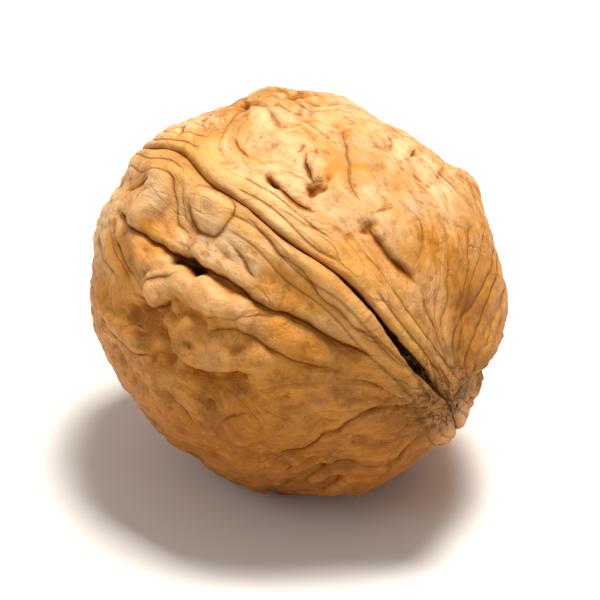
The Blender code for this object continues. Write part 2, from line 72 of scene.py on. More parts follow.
# %% Aim the camera
VIEW_AZIMUTH = math.radians(52)
VIEW_ELEVATION = math.radians(28)
LENS = 200  # millimetres
SENSOR = 36  # millimetres
FRAMED_WIDTH = 54 * MM  # how much the picture takes in, from side to side
NUT_RAISED = 0.6 * MM  # how far above the picture's middle the nut's middle is

view_right = Vector((math.cos(VIEW_AZIMUTH), math.sin(VIEW_AZIMUTH), 0))
view_back = Vector((math.sin(VIEW_AZIMUTH), -math.cos(VIEW_AZIMUTH), 0)) * math.cos(VIEW_ELEVATION)
view_back.z = math.sin(VIEW_ELEVATION)
view_up = view_back.cross(view_right)
nut_middle = (shell_low + shell_high) / 2

lens = bpy.data.cameras.new("camera")
lens.lens = LENS
lens.sensor_width = SENSOR
lens.clip_start = 0.01
camera = bpy.data.objects.new("camera", lens)
bpy.context.scene.collection.objects.link(camera)
camera.rotation_mode = "QUATERNION"
camera.rotation_quaternion = (-view_back).to_track_quat("-Z", "Y")
camera.location = nut_middle - view_up * NUT_RAISED + view_back * FRAMED_WIDTH * LENS / SENSOR
bpy.context.scene.camera = camera
print("camera stands", round((camera.location - nut_middle).length, 3), "m away")

# %% [markdown]
# ## A ball to start from
#
# A ball with poles, as a globe has, bunches its faces at the poles. A cube whose faces are cut into a grid
# and then blown up to a ball has even faces everywhere. Every point of the ball is a direction from the nut's
# middle, and the rest of the shape is a formula of that direction. Leaning the directions a little towards
# the camera puts more faces on the side that is seen. An even number of cells leaves a row of points just
# where the seam will run.

# %% Make the ball
GRID = 126  # cells along each side of the cube
LEAN = 0.16  # how far the directions lean towards the camera

# How the nut lies: its tip droops a little, and it is rolled round its length.
TIP_DROOP = math.radians(5)
ROLL = math.radians(124)
resting_turn = np.array(Matrix.Rotation(TIP_DROOP, 3, "Y") @ Matrix.Rotation(ROLL, 3, "X"))
view_axes = (view_right, view_up, view_back)
seen_right, seen_up, seen_toward = (np.array(axis) @ resting_turn for axis in view_axes)


def unit(vectors):
    return vectors / np.linalg.norm(vectors, axis=1)[:, None]


ball = bmesh.new()
bmesh.ops.create_cube(ball, size=2)
bmesh.ops.subdivide_edges(ball, edges=ball.edges[:], cuts=GRID - 1, use_grid_fill=True)
shell_mesh = bpy.data.meshes.new("shell")
ball.to_mesh(shell_mesh)
ball.free()
cube_points = np.empty(len(shell_mesh.vertices) * 3)
shell_mesh.vertices.foreach_get("co", cube_points)
directions = unit(np.tan(cube_points.reshape(-1, 3) * math.pi / 4))
directions = unit(directions + LEAN * seen_toward * [1, 1, 0])
print("ball:", len(directions), "points and", len(shell_mesh.polygons), "faces")

# %% [markdown]
# ## The smooth body
#
# Under its furrows a walnut is nearly an egg. This one is a stretched ball in a frame of its own: x runs from
# the stem end to the tip, y out through the seam that shows, and z out through the lower cheek. The ring
# round the nut narrows near the tip, and a small nib stands out there. Formulas of the angle from the tip
# keep it smooth, where a modelled mesh would need many rings by hand.

# %% Shape the smooth body
LENGTH = 40.2 * MM
WIDTH_AT_SEAM = 34.5 * MM
WIDTH_AT_CHEEKS = 35.8 * MM
SLIMMER_STEM = 0.045  # share by which the stem end is slimmer than the tip end
FULLER_SHOULDERS = 0.012
TIP_PINCH = 0.22  # share by which the ring narrows close to the tip
TIP_PINCH_SPREAD = 0.40  # radians, as are the other two spreads
NIB_LENGTH = 1.9 * MM
NIB_SPREAD = 0.22
STEM_DIMPLE = 0.7 * MM
STEM_DIMPLE_SPREAD = 0.16
HALF_SIZES = np.array([LENGTH, WIDTH_AT_SEAM, WIDTH_AT_CHEEKS]) / 2


def angle_from_tip(toward):
    return np.arccos(np.clip(toward[:, 0], -1, 1))


def smooth_body(toward):
    """A point of the body and its outward normal, for each direction."""
    angle = angle_from_tip(toward)
    ring = 1 + SLIMMER_STEM * toward[:, 0] + FULLER_SHOULDERS * np.sin(2 * angle) ** 2
    ring -= TIP_PINCH * np.exp(-((angle / TIP_PINCH_SPREAD) ** 2))
    points = toward * HALF_SIZES
    points[:, 1:] *= ring[:, None]
    points[:, 0] += NIB_LENGTH * np.exp(-angle / NIB_SPREAD)
    points[:, 0] += STEM_DIMPLE * np.exp(-(((math.pi - angle) / STEM_DIMPLE_SPREAD) ** 2))
    return points, unit(toward / HALF_SIZES)


print("body in mm:", (np.ptp(smooth_body(directions)[0], axis=0) / MM).round(1))

# %% [markdown]
# ## Two helpers for relief
#
# Most of what grew on the shell is irregular but smooth. `smooth_field` sums waves in random directions, with
# a fixed seed, so it is the same on each run and as broad or fine as its wavelength. `crease` is the shape of
# a furrow across its line: a valley with a rounded bottom, which a mesh of quarter-millimetre faces can hold
# without teeth.

# %% Helpers for relief
SEED = 7
CREASE_ROUNDING = 0.2 * MM


def smooth_field(points, wavelength, seed, waves=28):
    """A random field of about unit size, smooth at one wavelength."""
    draw = np.random.RandomState(seed)
    toward = unit(draw.normal(size=(waves, 3))) * draw.uniform(0.75, 1.3, waves)[:, None]
    phase = draw.uniform(0, 2 * math.pi, waves)
    turns = points @ toward.T * (2 * math.pi / wavelength) + phase
    return np.sin(turns).sum(1) * math.sqrt(2 / waves)


def smooth_vectors(points, wavelength, seed):
    return np.stack([smooth_field(points, wavelength, seed + axis) for axis in range(3)], 1)


def crease(far, half_width):
    """1 on the line, fading to 0 away from it."""
    return np.exp((CREASE_ROUNDING - np.hypot(far, CREASE_ROUNDING)) / half_width)


# %% [markdown]
# ## The seam
#
# The two halves meet in a band that stands proud of the cheeks, with a hollow along each side. In its middle
# runs the crack, hair-thin for most of its length, which gapes near the tip on the side that shows. The crack
# is a sharp thing, and a grid that crosses it at a slant would give it saw teeth. So the mesh's rows are bent
# to follow the crack first, and drawn closer together beside it.

# %% Run the mesh's rows along the crack
CRACK_STRAYS = ((0.4 * MM, 24 * MM, 0.6), (0.2 * MM, 10.3 * MM, 2.0))  # reach, length and phase of each wave
ROWS_SQUEEZED = 0.5
SQUEEZE_REACH = 0.09  # of half the nut's width
STRAY_REACH = 0.35  # of half the nut's width


def crack_middle(x):
    """How far the crack has strayed from a straight line, at each place along the nut."""
    return sum(far * np.sin(x * 2 * math.pi / length + phase) for far, length, phase in CRACK_STRAYS)


from_seam = directions[:, 2].copy()
wander = crack_middle(smooth_body(directions)[0][:, 0]) / HALF_SIZES[2]
directions[:, 2] -= from_seam * ROWS_SQUEEZED * np.exp(-((from_seam / SQUEEZE_REACH) ** 2))
directions[:, 2] += wander * np.exp(-((from_seam / STRAY_REACH) ** 2))
directions = unit(directions)
body, normals = smooth_body(directions)
off_crack = body[:, 2] - crack_middle(body[:, 0])
print("rows beside the crack:", len(np.unique(off_crack[np.abs(off_crack) < 0.5 * MM].round(5))), "steps")

# %% [markdown]
# All of the seam is a formula of one number: how far a point is from the crack. Fine lines run beside it in
# stretches. The number is kept, because the material draws the crack from it, sharper than the mesh could.

# %% Raise the band and cut the crack
BAND_HEIGHT = 0.8 * MM
BAND_HALF_WIDTH = 2.5 * MM
BAND_BROAD_SIDE = 1.35  # the band is this much wider on its upper side
BAND_LOWER_AT_STEM = 0.5
BAND_CALM = 2.0 * MM  # the nets stay off this much of the band, each way from its middle
FLANK_DEPTH = 0.4 * MM
FLANK_OFFSET = 4.6 * MM
FLANK_HALF_WIDTH = 1.6 * MM
CRACK_DEPTH = 0.45 * MM
CRACK_HALF_WIDTH = 0.22 * MM
GAPE_DEPTH = 1.2 * MM
GAPE_HALF_WIDTH = 0.42 * MM
GAPE_END = 0.10  # radians from the tip; the next two are in radians too
GAPE_WIDEST = 0.25
GAPE_TAPER = 0.26

# Fine lines beside the crack: how far from it, and how deep.
SEAM_LINES = ((-2.3 * MM, 0.14 * MM), (-1 * MM, 0.28 * MM), (1.2 * MM, 0.1 * MM), (2.4 * MM, 0.06 * MM))
SEAM_LINE_HALF_WIDTH = 0.25 * MM
SEAM_LINE_STRAY = 0.25 * MM
SEAM_LINE_STRAY_LENGTH = 9 * MM
SEAM_LINE_STRETCH = 14 * MM

from_tip = angle_from_tip(directions)
gape = np.clip((from_tip - GAPE_END) / (GAPE_WIDEST - GAPE_END), 0, 1)
gape *= np.exp(-np.maximum(from_tip - GAPE_WIDEST, 0) / GAPE_TAPER) * (directions[:, 1] > 0)
slot_half_width = CRACK_HALF_WIDTH / 2 + GAPE_HALF_WIDTH * gape
crack_cut = CRACK_DEPTH * crease(off_crack, CRACK_HALF_WIDTH)
crack_cut += GAPE_DEPTH * np.sqrt(gape) * np.exp(-((off_crack / slot_half_width) ** 4))
stretches = np.clip(0.5 + smooth_field(body, SEAM_LINE_STRETCH, SEED + 30), 0, 1)
line_stray = SEAM_LINE_STRAY * smooth_field(body, SEAM_LINE_STRAY_LENGTH, SEED + 31)
for beside, depth in SEAM_LINES:
    crack_cut += depth * stretches * crease(off_crack - beside - line_stray, SEAM_LINE_HALF_WIDTH)

on_band = np.exp(-((off_crack / BAND_CALM) ** 4))
band_half_width = BAND_HALF_WIDTH * np.where(off_crack > 0, 1, BAND_BROAD_SIDE)
band = BAND_HEIGHT * (1 - BAND_LOWER_AT_STEM * (1 - directions[:, 0]) / 2)
band *= np.exp(-(np.abs(off_crack / band_half_width) ** 3))
flank = np.exp(-(((np.abs(off_crack) - FLANK_OFFSET) / FLANK_HALF_WIDTH) ** 2)) * (1 - directions[:, 0] ** 2)
seam = band - FLANK_DEPTH * flank - crack_cut
print("seam in mm: up to", round(seam.max() / MM, 2), "high, cut", round(crack_cut.max() / MM, 2), "deep")

# %% [markdown]
# ## Furrows drawn by hand
#
# The side that shows has its own furrows, bosses and pits, which no random net would hit. They are drawn as a
# few points each, in millimetres right of and above a point near the nut's middle, just as the camera sees
# them. A smooth curve goes through the points, and each is sent along the line of sight until it meets the
# body. So the drawing stays easy to read and to change, and the furrow is a real line on the nut that holds
# from any side.

# %% The drawing
# Furrows: depth, half width, height of the lip on the left of the line, and points.
FURROWS = {
    "long furrow": (0.72, 0.42, 0.42, [
        (-16.7, 7.9), (-15.5, 6.4), (-14.2, 5.5), (-12.7, 4.6), (-11.5, 3.7), (-10.5, 3.2),
        (-9.5, 2.7), (-8.5, 2.4), (-7, 1.6), (-5.4, 0.7), (-4.2, -0.4), (-3, -1), (-1, -1.7),
        (1, -2.7), (3, -4), (6.2, -5)]),
    "boss edge": (0.22, 0.3, 0, [
        (-12.2, 11.4), (-11.5, 10.4), (-11.3, 9.2), (-11.4, 7.9), (-11.3, 6.7), (-10.5, 5.7),
        (-9.5, 4.6)]),
    "boss second edge": (0.19, 0.3, 0, [
        (-11, 10.4), (-10.5, 9.4), (-10.6, 8.2), (-10.4, 6.9), (-9.8, 6), (-8.9, 5.2)]),
    "round boss": (0.28, 0.27, 0, [
        (-9.9, 8.8), (-9.3, 9.4), (-8, 9.4), (-6.8, 8.7), (-5.9, 7.8), (-5.7, 7.1), (-6.4, 6),
        (-7.7, 5.3), (-8.9, 5.6), (-9.8, 6.6), (-10.1, 7.7), (-9.9, 8.8), (-9.3, 9.4)]),
    "band edge": (0.28, 0.34, 0.12, [
        (-5.7, 6.6), (-4.4, 6.2), (-3.3, 5.2), (-2.5, 4.2), (-1.8, 3.4), (-0.6, 2.6), (0.2, 2.1),
        (0.8, 1.1), (2.2, -0.6), (4.2, -2.4), (6.5, -4.2), (8.5, -6.2)]),
    "lens edge": (0.28, 0.3, 0.08, [
        (-16.8, 7.4), (-17.1, 6), (-16.7, 4.5), (-16.1, 3.1), (-15.1, 1.9), (-14.5, 1)]),
    "lens foot": (0.37, 0.34, 0.08, [(-14.5, 1), (-13, 1.5), (-11.3, 1.7), (-10.1, 2.4)]),
    "left line": (0.19, 0.28, 0, [
        (-17.3, 6.9), (-17.4, 5.5), (-17.2, 4.1), (-16.3, 2.6), (-15.5, 1.4), (-14.9, 0.6)]),
    "left second line": (0.19, 0.3, 0, [
        (-18.2, 6.9), (-18.4, 5.1), (-18.1, 3.5), (-17.1, 2), (-16.2, 0.5)]),
    "flake foot": (0.65, 0.38, 0.34, [
        (-15.3, 0.4), (-14.7, 0), (-14, -0.7), (-13.1, -1), (-12, -0.8), (-11.2, -0.2),
        (-10.4, -0.4)]),
    "flake edge": (0.22, 0.3, 0, [
        (-8.9, -2.4), (-8.3, -2), (-6.8, -1.8), (-5.4, -2.1), (-4, -1.8), (-1, -2)]),
    "arc": (0.28, 0.3, 0.12, [
        (-8.5, -3.7), (-7.7, -3.1), (-6.3, -2.7), (-5.2, -2.8), (-4.3, -3.3), (-3, -4.2),
        (-1, -5.2), (1, -6), (3.3, -6.1)]),
    "scale foot": (0.65, 0.47, 0.34, [
        (-10.8, -3.8), (-10.5, -5.2), (-9.7, -6.2), (-8.4, -6.8), (-6.8, -6.8), (-5.4, -6.5),
        (-3.3, -6.8)]),
    "low line": (0.35, 0.32, 0.1, [(-7.3, -10.9), (-6, -10.4), (-5, -9.9), (-3.5, -9.9)]),
    "lowest line": (0.4, 0.34, 0.14, [
        (-11.1, -12.6), (-9.7, -13.3), (-8.4, -14), (-7.3, -14.3), (-5.6, -14.5)]),
    "low side line": (0.3, 0.3, 0.1, [
        (-12.2, -7.4), (-11.3, -8.6), (-10.4, -9.6), (-9.2, -10.9), (-8.2, -11.6)]),
    "low left line": (0.5, 0.38, 0.16, [
        (-15, -6.2), (-14.3, -7.5), (-13.6, -8.6), (-12.5, -10), (-11.4, -11)]),
    "low ledge": (0.5, 0.38, 0.2, [(-17.6, -3), (-16.4, -4.1), (-15, -5), (-13.6, -5.2), (-12.8, -5.8)]),
    "left ledge": (0.31, 0.34, 0.16, [(-18.8, -1), (-18.1, -2.4), (-17.3, -3.5), (-16.3, -4.7)]),
    "upper furrow": (0.55, 0.32, 0.24, [
        (-3.7, 11.1), (-3.2, 10.6), (-2.7, 10.1), (-1.8, 9.1), (-0.8, 8.2), (0.25, 7.4), (1, 6.9),
        (1.9, 6.9)]),
    "upper second furrow": (0.19, 0.28, 0.08, [(-2.5, 7.8), (-1.1, 6.6), (0.4, 5.8), (1.9, 5.3), (3, 5.1)]),
    "pit loop": (0.5, 0.34, 0.2, [
        (-0.3, 12.9), (0.25, 12.3), (0.4, 11.15), (0.7, 10.3), (1.1, 9.6), (1.9, 9.8)]),
    "crown line": (0.22, 0.28, 0, [
        (3.45, 15.2), (3.5, 13.8), (3.9, 12.5), (4, 10.6), (4.2, 9.1), (4.75, 7.9), (5.3, 6.8)]),
    "plate edge": (0.43, 0.3, 0.34, [
        (5.3, 6.6), (5.9, 5.9), (6.2, 5), (6.8, 4), (7.7, 3), (8.5, 2.2), (9.3, 1.4), (10, 0.4)]),
    "plate tail": (0.22, 0.3, 0.08, [(9.6, 1), (10.2, 0), (11, -2), (12.2, -5)]),
    "plate top": (0.22, 0.28, 0, [(5.3, 6.6), (6.8, 6.9), (8.4, 7.4)]),
    "plate right": (0.19, 0.28, 0, [
        (8.4, 7.4), (10, 6.2), (10.3, 4.75), (10, 3.3), (9.4, 2.1), (8.8, 2.1)]),
    "side crease": (0.19, 0.28, 0, [(4.75, 4.5), (5.6, 3), (6.5, 1.8), (8, -0.4)]),
    "notch": (0.37, 0.3, 0, [(9.1, 11.7), (9.7, 12.3), (10, 13)]),
    "faint line": (0.15, 0.28, 0, [(7.4, 10.9), (8.1, 10), (9.1, 9.1), (9.7, 8), (10.4, 6.2)]),
    "fan first": (0.28, 0.3, 0.08, [
        (16.8, 6.6), (17, 4.75), (16.7, 2.6), (15.4, 0), (13.9, -1.8), (13.2, -3.4), (13, -6)]),
    "fan second": (0.22, 0.28, 0, [
        (15.7, 6.2), (15.5, 4), (14.9, 1.8), (14.5, 0.4), (13.8, -3.5), (13.2, -7)]),
    "fan third": (0.22, 0.28, 0.08, [(14.6, 6.2), (14.2, 4.2), (14.35, 1.8), (13.9, -0.3), (13.5, -2.2)]),
    "fan fourth": (0.19, 0.28, 0, [(12.75, 4), (12.5, 1.8), (12.6, -0.3), (12, -2.5), (12.6, -6)]),
    "fan outer": (0.28, 0.3, 0.08, [
        (17.55, 5.5), (17.55, 3.3), (16.7, 1), (16, -1.1), (14.2, -5), (13.6, -8)]),
    "crown notch": (0.28, 0.3, 0.08, [(-6.9, 14.8), (-5.9, 13.8), (-5.4, 12.7), (-4.3, 11.8)]),
}

# Hollows: depth, half width, and points.
HOLLOWS = {
    "deep hole": (2.2, 0.8, [(-11.6, 3.3), (-10.7, 2.8), (-9.8, 2.3)]),
    "basin": (1.2, 1.3, [(-15.3, -1.5), (-13.6, -2.1), (-12.6, -3.2), (-12.4, -4.8)]),
    "second basin": (0.4, 0.6, [(-11.4, -1.3), (-9.9, -1.5), (-8.6, -2.4)]),
    "scale shade": (0.5, 0.7, [(-9.4, -7), (-7.4, -7.3), (-4.6, -7.2)]),
    "left gap": (0.6, 1.1, [(-18.4, -4), (-16.8, -5.6), (-15.2, -7.6)]),
    "low hollow": (0.5, 0.9, [(-8, -7.9), (-6.3, -8.3), (-4.2, -8)]),
    "furrow pit": (0.9, 0.5, [(-3.1, 10.4), (-2.7, 10.1)]),
    "loop pit": (1.05, 0.5, [(1.05, 9.9), (1.25, 9.7)]),
    "upper pit": (0.38, 0.4, [(-0.05, 12.9), (0.1, 12.5)]),
    "small pit": (0.3, 0.4, [(2.1, 12.1), (2.2, 11.7)]),
    "crown pit": (0.22, 0.4, [(2.4, 15.2), (2.6, 15)]),
    "low pit": (0.75, 0.45, [(-8.2, -9.5), (-7.7, -9.7)]),
    "head shade": (0.5, 0.6, [(-14.6, -0.9), (-13.4, -1.2), (-12.6, -1.1)]),
    "side nick": (0.5, 0.5, [(-15.9, -3.9), (-15.4, -4.6)]),
    "under furrow": (0.4, 1.1, [(-9, 1.9), (-7, 1), (-5, -0.4)]),
    "plate corner": (0.5, 0.5, [(5.5, 6.1), (5.7, 5.5)]),
}

# Ridges: height, half width, and points.
RIDGES = {
    "flake ridge": (0.7, 1.1, [(-13.4, 0.2), (-11.6, 0.7), (-9.4, 0.5), (-7, -0.7), (-5, -1.5)]),
    "scale ridge": (0.6, 1.2, [(-9.9, -4.3), (-8.3, -4.9), (-5.8, -5.2), (-3, -5.6)]),
    "lens ridge": (0.45, 1.3, [(-16.2, 6.2), (-14.9, 4.3), (-13.1, 2.9), (-12, 2.5)]),
    "left ridge": (0.4, 0.9, [(-18.2, -0.9), (-16.8, -3), (-14.9, -4.3), (-13.2, -6.4), (-12.5, -9.2)]),
}

# Bosses: height, radius and middle.
BOSSES = {
    "first boss": (0.75, 2.7, (-13.6, 9)),
    "round boss": (0.36, 1.7, (-7.9, 7.4)),
    "flake head": (0.3, 1.2, (-13.2, 0.2)),
    "knob": (0.45, 0.8, (-10.1, -2.5)),
    "plate": (0.3, 2.1, (8, 4.8)),
}

print("drawn:", len(FURROWS), "furrows,", len(HOLLOWS), "hollows,", len(RIDGES) + len(BOSSES), "raised forms")

# %% Put the drawing on the nut
DRAWING_SHIFT = (0.9, -0.65)  # millimetres from the nut's middle to the drawing's zero


def smooth_line(points, spacing=0.5):
    """A Catmull-Rom curve through the points of a drawing."""
    points = np.array(points, float)
    ends = np.vstack([2 * points[0] - points[1], points, 2 * points[-1] - points[-2]])
    pieces = []
    for before, start, end, after in zip(ends, ends[1:], ends[2:], ends[3:]):
        steps = max(2, int(np.linalg.norm(end - start) / spacing))
        t = np.linspace(0, 1, steps, endpoint=False)[:, None]
        bend = 2 * before - 5 * start + 4 * end - after
        twist = 3 * start - before - 3 * end + after
        pieces.append(start + 0.5 * ((end - before) * t + bend * t**2 + twist * t**3))
    return np.vstack([*pieces, points[-1:]])


def on_the_nut(drawing):
    """Sends points of the drawing along the line of sight to the body."""
    flat = (np.array(drawing, float) + DRAWING_SHIFT) * MM
    start = (flat[:, :1] * seen_right + flat[:, 1:] * seen_up) / HALF_SIZES
    step = seen_toward / HALF_SIZES
    along = start @ step
    inside = np.maximum(along**2 - (step @ step) * ((start**2).sum(1) - 1), 0)
    reach = (np.sqrt(inside) - along) / (step @ step)
    return smooth_body(unit(start + reach[:, None] * step))[0]


lines = {name: on_the_nut(smooth_line(drawing)) for name, (*_, drawing) in FURROWS.items()}
lengths = {name: np.linalg.norm(np.diff(line, axis=0), axis=1).sum() / MM for name, line in lines.items()}
print("longest furrow in mm:", round(max(lengths.values()), 1))

# %% [markdown]
# To cut a furrow, each point of the mesh has to know how far it is from the line, and on which side. The side
# makes one lip higher than the other, as where one plate of shell has grown over the next. The same distances
# are kept for the material in a few layers. In one layer no two lines come near each other, so a distance
# there has only one meaning, and the finest part of a line can be drawn much sharper than the mesh is.
#
# Nothing that grew has the smooth outline of a drawing. So before they are measured, the points are pushed
# about a little by smooth fields, which makes the lines and still more the forms ragged.

# %% Cut the furrows, sink the hollows and raise the rest
CREASE_PROFILE = ((0.62, 0.55), (0.38, 2.6))  # a sharp core and wide slopes: shares of depth and half width
LIP_ROUNDING = 0.3 * MM
LIP_REACH = 1.6 * MM
NET_FREE_REACH = 2.7 * MM  # the nets fade out this near to a drawn furrow
LINE_STRAYS = ((0.06 * MM, 2.3 * MM),)  # how far, over what length
FORM_STRAYS = ((0.32 * MM, 3.6 * MM), (0.09 * MM, 1.6 * MM))
LAYER_CLEARANCE = 0.7 * MM  # lines of one layer stay twice this far apart
DARK_FROM = 2.0  # a hollow deeper than this, in millimetres, is painted nearly black, a painted shadow
GAPS_AT_ONCE = 3_000_000  # how many distances are worked out at a time


def measure_line(points, line, reach=5 * MM, fade=2.5 * MM):
    """How far each point is from a line, how far to its left, and the line's strength, faded at its ends."""
    far = np.ones(len(points))
    left = np.zeros(len(points))
    strength = np.zeros(len(points))
    near = np.where(((points > line.min(0) - reach) & (points < line.max(0) + reach)).all(1))[0]
    pieces = line[1:] - line[:-1]
    lengths = np.linalg.norm(pieces, axis=1)
    start = np.concatenate([[0], np.cumsum(lengths)])
    fade = min(fade, start[-1] / 2)
    for part in np.array_split(near, 1 + len(near) * len(pieces) // GAPS_AT_ONCE):
        offset = points[part][:, None, :] - line[None, :-1]
        share = np.clip((offset * pieces).sum(2) / lengths**2, 0, 1)
        offset -= share[..., None] * pieces
        gaps = np.linalg.norm(offset, axis=2)
        best = gaps.argmin(1)
        rows = np.arange(len(part))
        along = start[best] + share[rows, best] * lengths[best]
        ends = np.clip(np.minimum(along, start[-1] - along) / fade, 0, 1)
        far[part] = gaps[rows, best]
        strength[part] = ends * ends * (3 - 2 * ends)
        across = unit(np.cross(unit(points[part]), pieces[best]))
        left[part] = (across * offset[rows, best]).sum(1)
    return far, left, strength


def strayed(points, strays, seed):
    """The points, pushed about by a smooth field for each stray."""
    pushes = [far * smooth_vectors(points, length, seed + 3 * k) for k, (far, length) in enumerate(strays)]
    return points + sum(pushes)


by_line = strayed(body, LINE_STRAYS, SEED + 60)
by_form = strayed(body, FORM_STRAYS, SEED + 70)
drawn = np.zeros(len(body))
nearest_line = np.ones(len(body))
line_layers = []
for name, (depth, half_width, lip, _) in FURROWS.items():
    far, left, strength = measure_line(by_line, lines[name])
    cut = sum(share * crease(far, wide * half_width * MM) for share, wide in CREASE_PROFILE)
    ledge = np.tanh(left / LIP_ROUNDING) * np.exp(-far / LIP_REACH)
    drawn += (lip * ledge - depth * cut) * strength * MM
    nearest_line = np.minimum(nearest_line, far)
    near = far < LAYER_CLEARANCE
    free = [layer for layer in line_layers if not layer["taken"][near].any()]
    if not free:
        free = [{"taken": np.zeros(len(body), bool), "off": np.ones(len(body)), "depth": np.zeros(len(body))}]
        line_layers += free
    free[0]["taken"] |= near
    free[0]["off"][near] = np.copysign(far, left)[near]
    free[0]["depth"][near] = (depth * strength)[near]
sunk = np.zeros(len(body))
painted_hole_shadow = np.zeros(len(body))
for depth, half_width, drawing in HOLLOWS.values():
    far = measure_line(by_form, on_the_nut(smooth_line(drawing)))[0]
    hollow = np.exp(-((far / (half_width * MM)) ** 2))
    sunk += depth * hollow
    painted_hole_shadow = np.maximum(painted_hole_shadow, hollow * (depth > DARK_FROM))
    nearest_line = np.minimum(nearest_line, far)
raised = np.zeros(len(body))
for rise, half_width, drawing in RIDGES.values():
    far = measure_line(by_form, on_the_nut(smooth_line(drawing)))[0]
    raised += rise * np.exp(-((far / (half_width * MM)) ** 3))
    nearest_line = np.minimum(nearest_line, far)
for rise, radius, middle in BOSSES.values():
    far = np.linalg.norm(by_form - on_the_nut([middle]), axis=1)
    raised += rise * np.exp(-((far / (radius * MM)) ** 3))
drawn += (raised - sunk) * MM
drawn_here = np.exp(-((nearest_line / NET_FREE_REACH) ** 2))
print("furrows cut up to", round(-drawn.min() / MM, 2), "mm deep, kept in", len(line_layers), "layers")

# %% [markdown]
# ## The nets
#
# Everywhere else the shell is covered by plates with furrows between them. A net of this kind comes from
# scattered points: each place belongs to its nearest point, and a furrow runs where two are equally near. To
# make it grow like a walnut's, the places are first squeezed along the nut, so that plates come out long,
# gathered at both ends, and pushed about by smooth fields, so that furrows meander. Each pair of plates draws
# its own depth, so some furrows are deep and others are missing. A coarse net makes the plates and a fine one
# the lines on them.

# %% Lay the nets
PLATE_STRETCH = 1.7
GATHERED_ENDS = 0.55  # below 1, the furrows run together at both ends
COARSE_NET = {
    "seed": SEED, "plates": 170, "furrow": 0.50 * MM, "half_width": 0.45 * MM, "pit": 0.45 * MM,
    "step": 0.16 * MM, "strays": ((1.6 * MM, 12 * MM), (0.65 * MM, 4 * MM))}
FINE_NET = {
    "seed": SEED + 40, "plates": 620, "furrow": 0.21 * MM, "half_width": 0.27 * MM, "pit": 0.18 * MM,
    "step": 0.10 * MM, "strays": ((1.2 * MM, 6 * MM), (0.4 * MM, 2.5 * MM))}
SHALLOWEST_DRAW = 0.23  # a furrow whose random draw is under this is missing
DEEPEST_DRAW = 0.90
PIT_PATCHES = 9 * MM
PIT_PATCH_EDGE = 2  # how sharply a pitted patch begins
PIT_PATCH_LIMIT = 0.3
COARSE_NET_LOST_AT_DRAWING = 0.92
FINE_NET_LOST_AT_DRAWING = 0.7
FINE_NET_LOST_ON_BAND = 0.7


def pattern_place(points, toward):
    """Where a net is laid out: along the nut, squeezed, and round it, so that it gathers at both ends."""
    along = (math.pi / 2 - angle_from_tip(toward)) * LENGTH / 2 / PLATE_STRETCH
    ring = np.linalg.norm(toward[:, 1:], axis=1) + 1e-9
    round_it = toward[:, 1:] / ring[:, None] * (WIDTH_AT_CHEEKS / 2 * ring**GATHERED_ENDS)[:, None]
    return np.column_stack([along, round_it])


def nearest_plates(place, plates, count):
    """The nearest plates to each point, nearest first, and how much further each is than the first."""
    gaps = np.linalg.norm(place[:, None, :] - plates[None], axis=2)
    order = np.argpartition(gaps, count, axis=1)[:, :count]
    gaps = np.take_along_axis(gaps, order, 1)
    nearest_first = np.argsort(gaps, axis=1)
    order = np.take_along_axis(order, nearest_first, 1)
    gaps = np.take_along_axis(gaps, nearest_first, 1)
    return order, gaps - gaps[:, :1]


def net_relief(points, toward, net, corners=4):
    """The net's relief, and how strongly each point lies in one of its furrows, from 0 to 1."""
    place = pattern_place(points, toward)
    for turn, (far, length) in enumerate(net["strays"], 1):
        place = place + far * smooth_vectors(place, length, net["seed"] + 3 * turn)
    draw = np.random.RandomState(net["seed"])
    middles = unit(draw.normal(size=(net["plates"], 3)))
    plates = pattern_place(smooth_body(middles)[0], middles)
    draws = draw.uniform(0, 1, (net["plates"], net["plates"]))
    draws = np.maximum(draws, draws.T) ** 2
    depths = np.clip((draws - SHALLOWEST_DRAW) / (DEEPEST_DRAW - SHALLOWEST_DRAW), 0, 1)
    steps = draw.uniform(-1, 1, net["plates"])
    patches = smooth_field(points, PIT_PATCHES, net["seed"] + 9)
    pitted = np.clip(PIT_PATCH_EDGE * (patches - PIT_PATCH_LIMIT), 0, 1)
    height = np.zeros(len(points))
    furrow = np.zeros(len(points))
    half_width = net["half_width"]
    for part in np.array_split(np.arange(len(points)), 1 + len(points) * len(plates) // GAPS_AT_ONCE):
        order, gaps = nearest_plates(place[part], plates, corners)
        for first in range(corners):
            for second in range(first + 1, corners):
                depth = depths[order[:, first], order[:, second]]
                furrow[part] = np.maximum(furrow[part], depth * crease(gaps[:, second] / 2, half_width / 2))
        pit = np.exp(-((gaps[:, 2] / half_width) ** 1.5)) * pitted[part]
        share = np.exp(-gaps / half_width)
        step = (share * steps[order]).sum(1) / share.sum(1)
        height[part] = net["step"] * step - net["furrow"] * furrow[part] - net["pit"] * pit
    return height, furrow


coarse, coarse_furrow = net_relief(body, directions, COARSE_NET)
fine, fine_furrow = net_relief(body, directions, FINE_NET)
coarse_share = (1 - on_band) * (1 - COARSE_NET_LOST_AT_DRAWING * drawn_here)
fine_share = (1 - FINE_NET_LOST_ON_BAND * on_band) * (1 - FINE_NET_LOST_AT_DRAWING * drawn_here)
print("nets:", COARSE_NET["plates"], "plates with", FINE_NET["plates"], "smaller ones on them")

# %% [markdown]
# ## The whole relief
#
# The parts are added along the body's normals, with broad lumps under them, and fade out near the lowest
# point, so that the nut rests on one small clean flat spot. The flat spot is a plane at height zero: points
# below it are lifted to it, which leaves the mesh closed without a cut.

# %% Add it all up and lay the nut down
LUMPS = ((0.24 * MM, 11 * MM), (0.12 * MM, 5.5 * MM))  # height and wavelength
LUMPS_LOST_ON_BAND = 0.5
LUMPS_LOST_AT_DRAWING = 0.6
REST_SLICE = 0.5 * MM
REST_CALM_REACH = 6 * MM
SOFTENED = 0.35  # share of the relief that is blurred once

